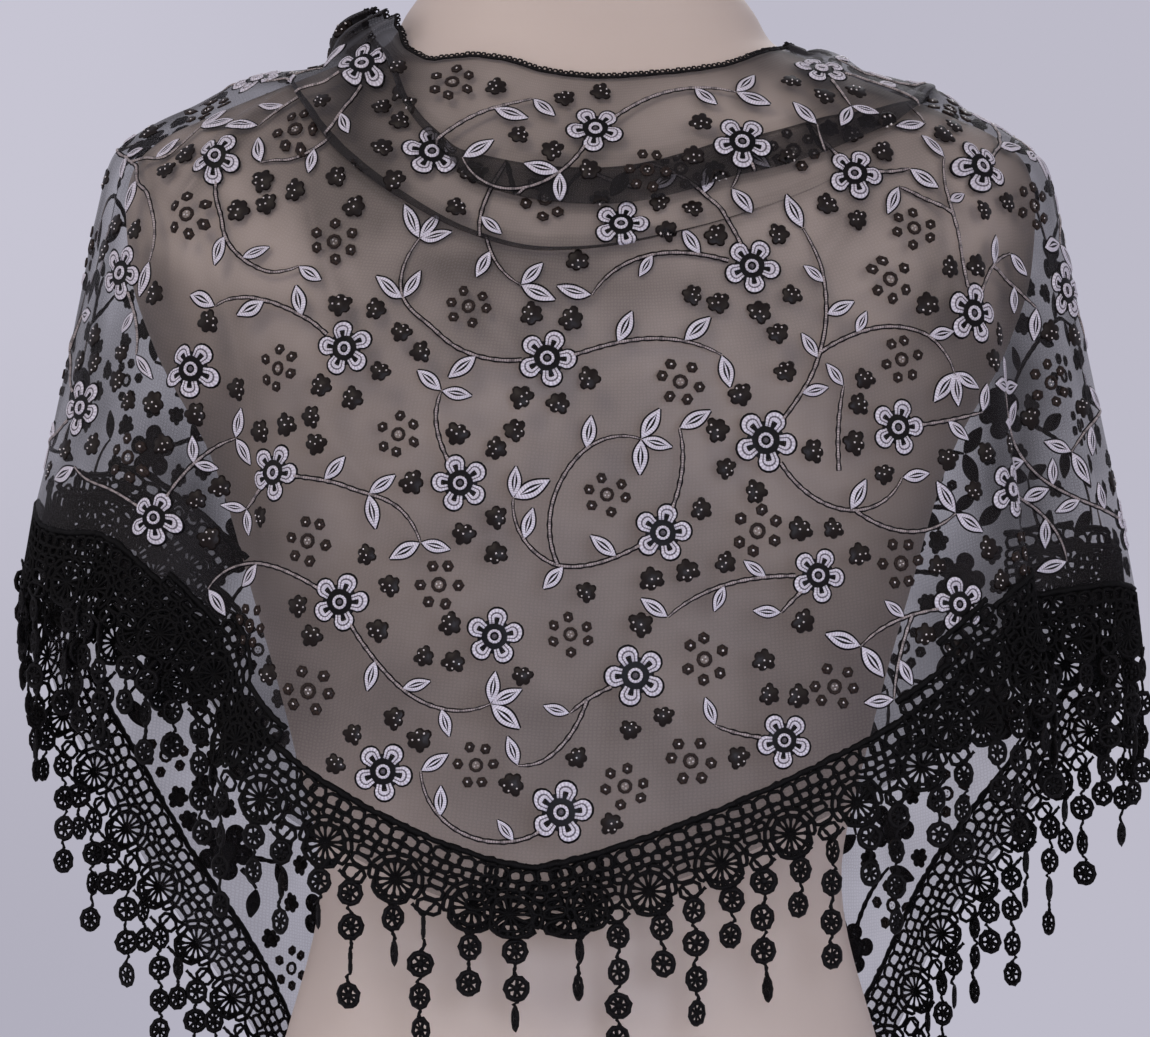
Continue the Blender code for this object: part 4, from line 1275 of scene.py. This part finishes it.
def makeFringe(frames, total):
    medallions = [medallionShape(k) for k in range(fringe["variants"])]
    thread = threadShape()
    bar = coordinates(thread)
    discs, bars = [[] for _ in medallions], []
    down = np.array([0, 0, -1.0])
    for anchor, way, long in strandPlaces(frames, total):
        face = np.cross(down, way)
        first, count = fringe["long" if long else "short"]
        if long and rng.random() < 0.3:
            count -= 1
        lean, bow = rng.uniform(-1, 1, 2), rng.uniform(-1, 1, 2)
        last = anchor
        for m in range(count):
            stray = rng.uniform(-fringe["jitter"], fringe["jitter"]) if m else 0
            far = first + m * fringe["apart"] + stray
            off = fringe["sway"] * (lean * far / 0.06 + bow * math.sin(far / 0.05 * math.pi) * 0.7)
            middle = anchor + down * far + way * off[0] + face * abs(off[1]) * 0.6
            if m == 0:  # two threads gather the border's scallop into the strand
                foot = middle - down * fringe["medallion"] * 0.8
                for hand in (-1, 1):
                    high = foot - down * fringe["gatherHigh"] + way * hand * fringe["gatherWide"]
                    bars.append(layBar(bar, high, foot, face, 0))
            yaw = rng.choice([rng.uniform(-0.5, 0.5), rng.uniform(1.0, 1.4)], p=[0.78, 0.22])
            roll = rng.uniform(-3, 3)
            kind = rng.integers(len(medallions))
            x, y, z = coordinates(medallions[kind]).T[..., None]
            across = (x * math.cos(roll) - y * math.sin(roll)) * rng.uniform(0.80, 1.05)
            up = x * math.sin(roll) + y * math.cos(roll)
            side = way * math.cos(yaw) + face * math.sin(yaw)
            front = -way * math.sin(yaw) + face * math.cos(yaw)
            discs[kind].append(middle + across * side - up * down + z * front)
            reach = down * fringe["medallion"] * 0.86
            top = middle - reach
            if np.linalg.norm(top - last) > 0.001 and top[2] < last[2]:
                bars.append(layBar(bar, last, top, face, fringe["slack"]))
            last = middle + reach
    parts = [repeatShape("discs", shape, spots) for shape, spots in zip(medallions, discs)]
    mesh = joinMeshes("dropFringe", [*parts, repeatShape("bars", thread, bars)])
    # spun polyester, crocheted: matt, a little smoother than the cotton border
    yarn = threadMaterial("blackPolyesterCrochet", "#121011", "#050405", stitch=0.0009, rough=0.65,
                          gloss=0.12)
    piece = finishPiece("dropFringe", mesh, [yarn])
    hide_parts(*[f"fringe_{run}_{side}" for run in ("back", "side", "tail")
                         for side in ("left", "right")])
    return piece


def edgingShape():  # a length of cord with a row of picot loops
    bm = bmesh.new()
    long, loop, out = (edging[key] / millimetre for key in ("unit", "loopRadius", "loopOut"))
    cord(bm, lacePath([(0, 0.4), (long / 3, 0.3), (long * 2 / 3, 0.5), (long, 0.4)]), edging["cord"])
    for k in range(edging["picots"]):
        x, y = (k + 0.5) * long / edging["picots"], 0.2 * math.sin(k * 2.6) - out
        ring = flatRing(circle(6), loop * (1 + 0.12 * math.sin(k * 1.9)))[:, :2]
        cord(bm, lacePath(ring + [x, y]), edging["loop"], closed=True)
    return closeShape("edgingShape", bm)


def makeEdging(point):
    gap = edging["endGap"]
    line, into = (np.concatenate([edge[1:] for edge in (point[:, k][::-1], point[k], point[:, -1 - k])])
                  for k in (0, 3))
    line, into = line[gap:-gap], into[gap:-gap]
    along = unit(np.gradient(line, axis=0))
    off = line - into
    off = unit(off - along * np.sum(off * along, axis=-1, keepdims=True))
    frames, total = evenFrames(line, -off, np.cross(along, off), edging["frameEvery"], edging["soften"])
    shape = edgingShape()
    mesh = repeatShape("picotEdging", shape, layAlong(shape, frames, total, edging["unit"]))
    # twisted cotton thread: matt and a little greyer
    yarn = threadMaterial("blackPicotThread", "#1a1617", "#070606", stitch=0.0008, rough=0.65, gloss=0.15)
    piece = finishPiece("picotEdging", mesh, [yarn])
    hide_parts("edging_tail_left", "edging_tail_right", "edging_nape")
    return piece


makeStudio()
makeStage()
formPiece = makeForm()
print("form made")
around, share, netPoint, netFullnessAndShade = layCloth()
netPiece = makeNet(netPoint, netFullnessAndShade)
print("net laid", netPoint.shape)
clothGrid, columnLength, clothArea = mapCloth(netPoint, share)
plan = planEmbroidery()
print("embroidery planned", {k: len(v) for k, v in plan.items()})
embroidery = makeEmbroidery(plan)
print("embroidery laid", [len(p.data.polygons) for p in embroidery])
hem, hemLength = hemFrames(netPoint)
lacePiece = makeLace(hem, hemLength)
fringePiece = makeFringe(hem, hemLength)
edgingPiece = makeEdging(netPoint)
print("lace, fringe and edging made", round(hemLength, 3))
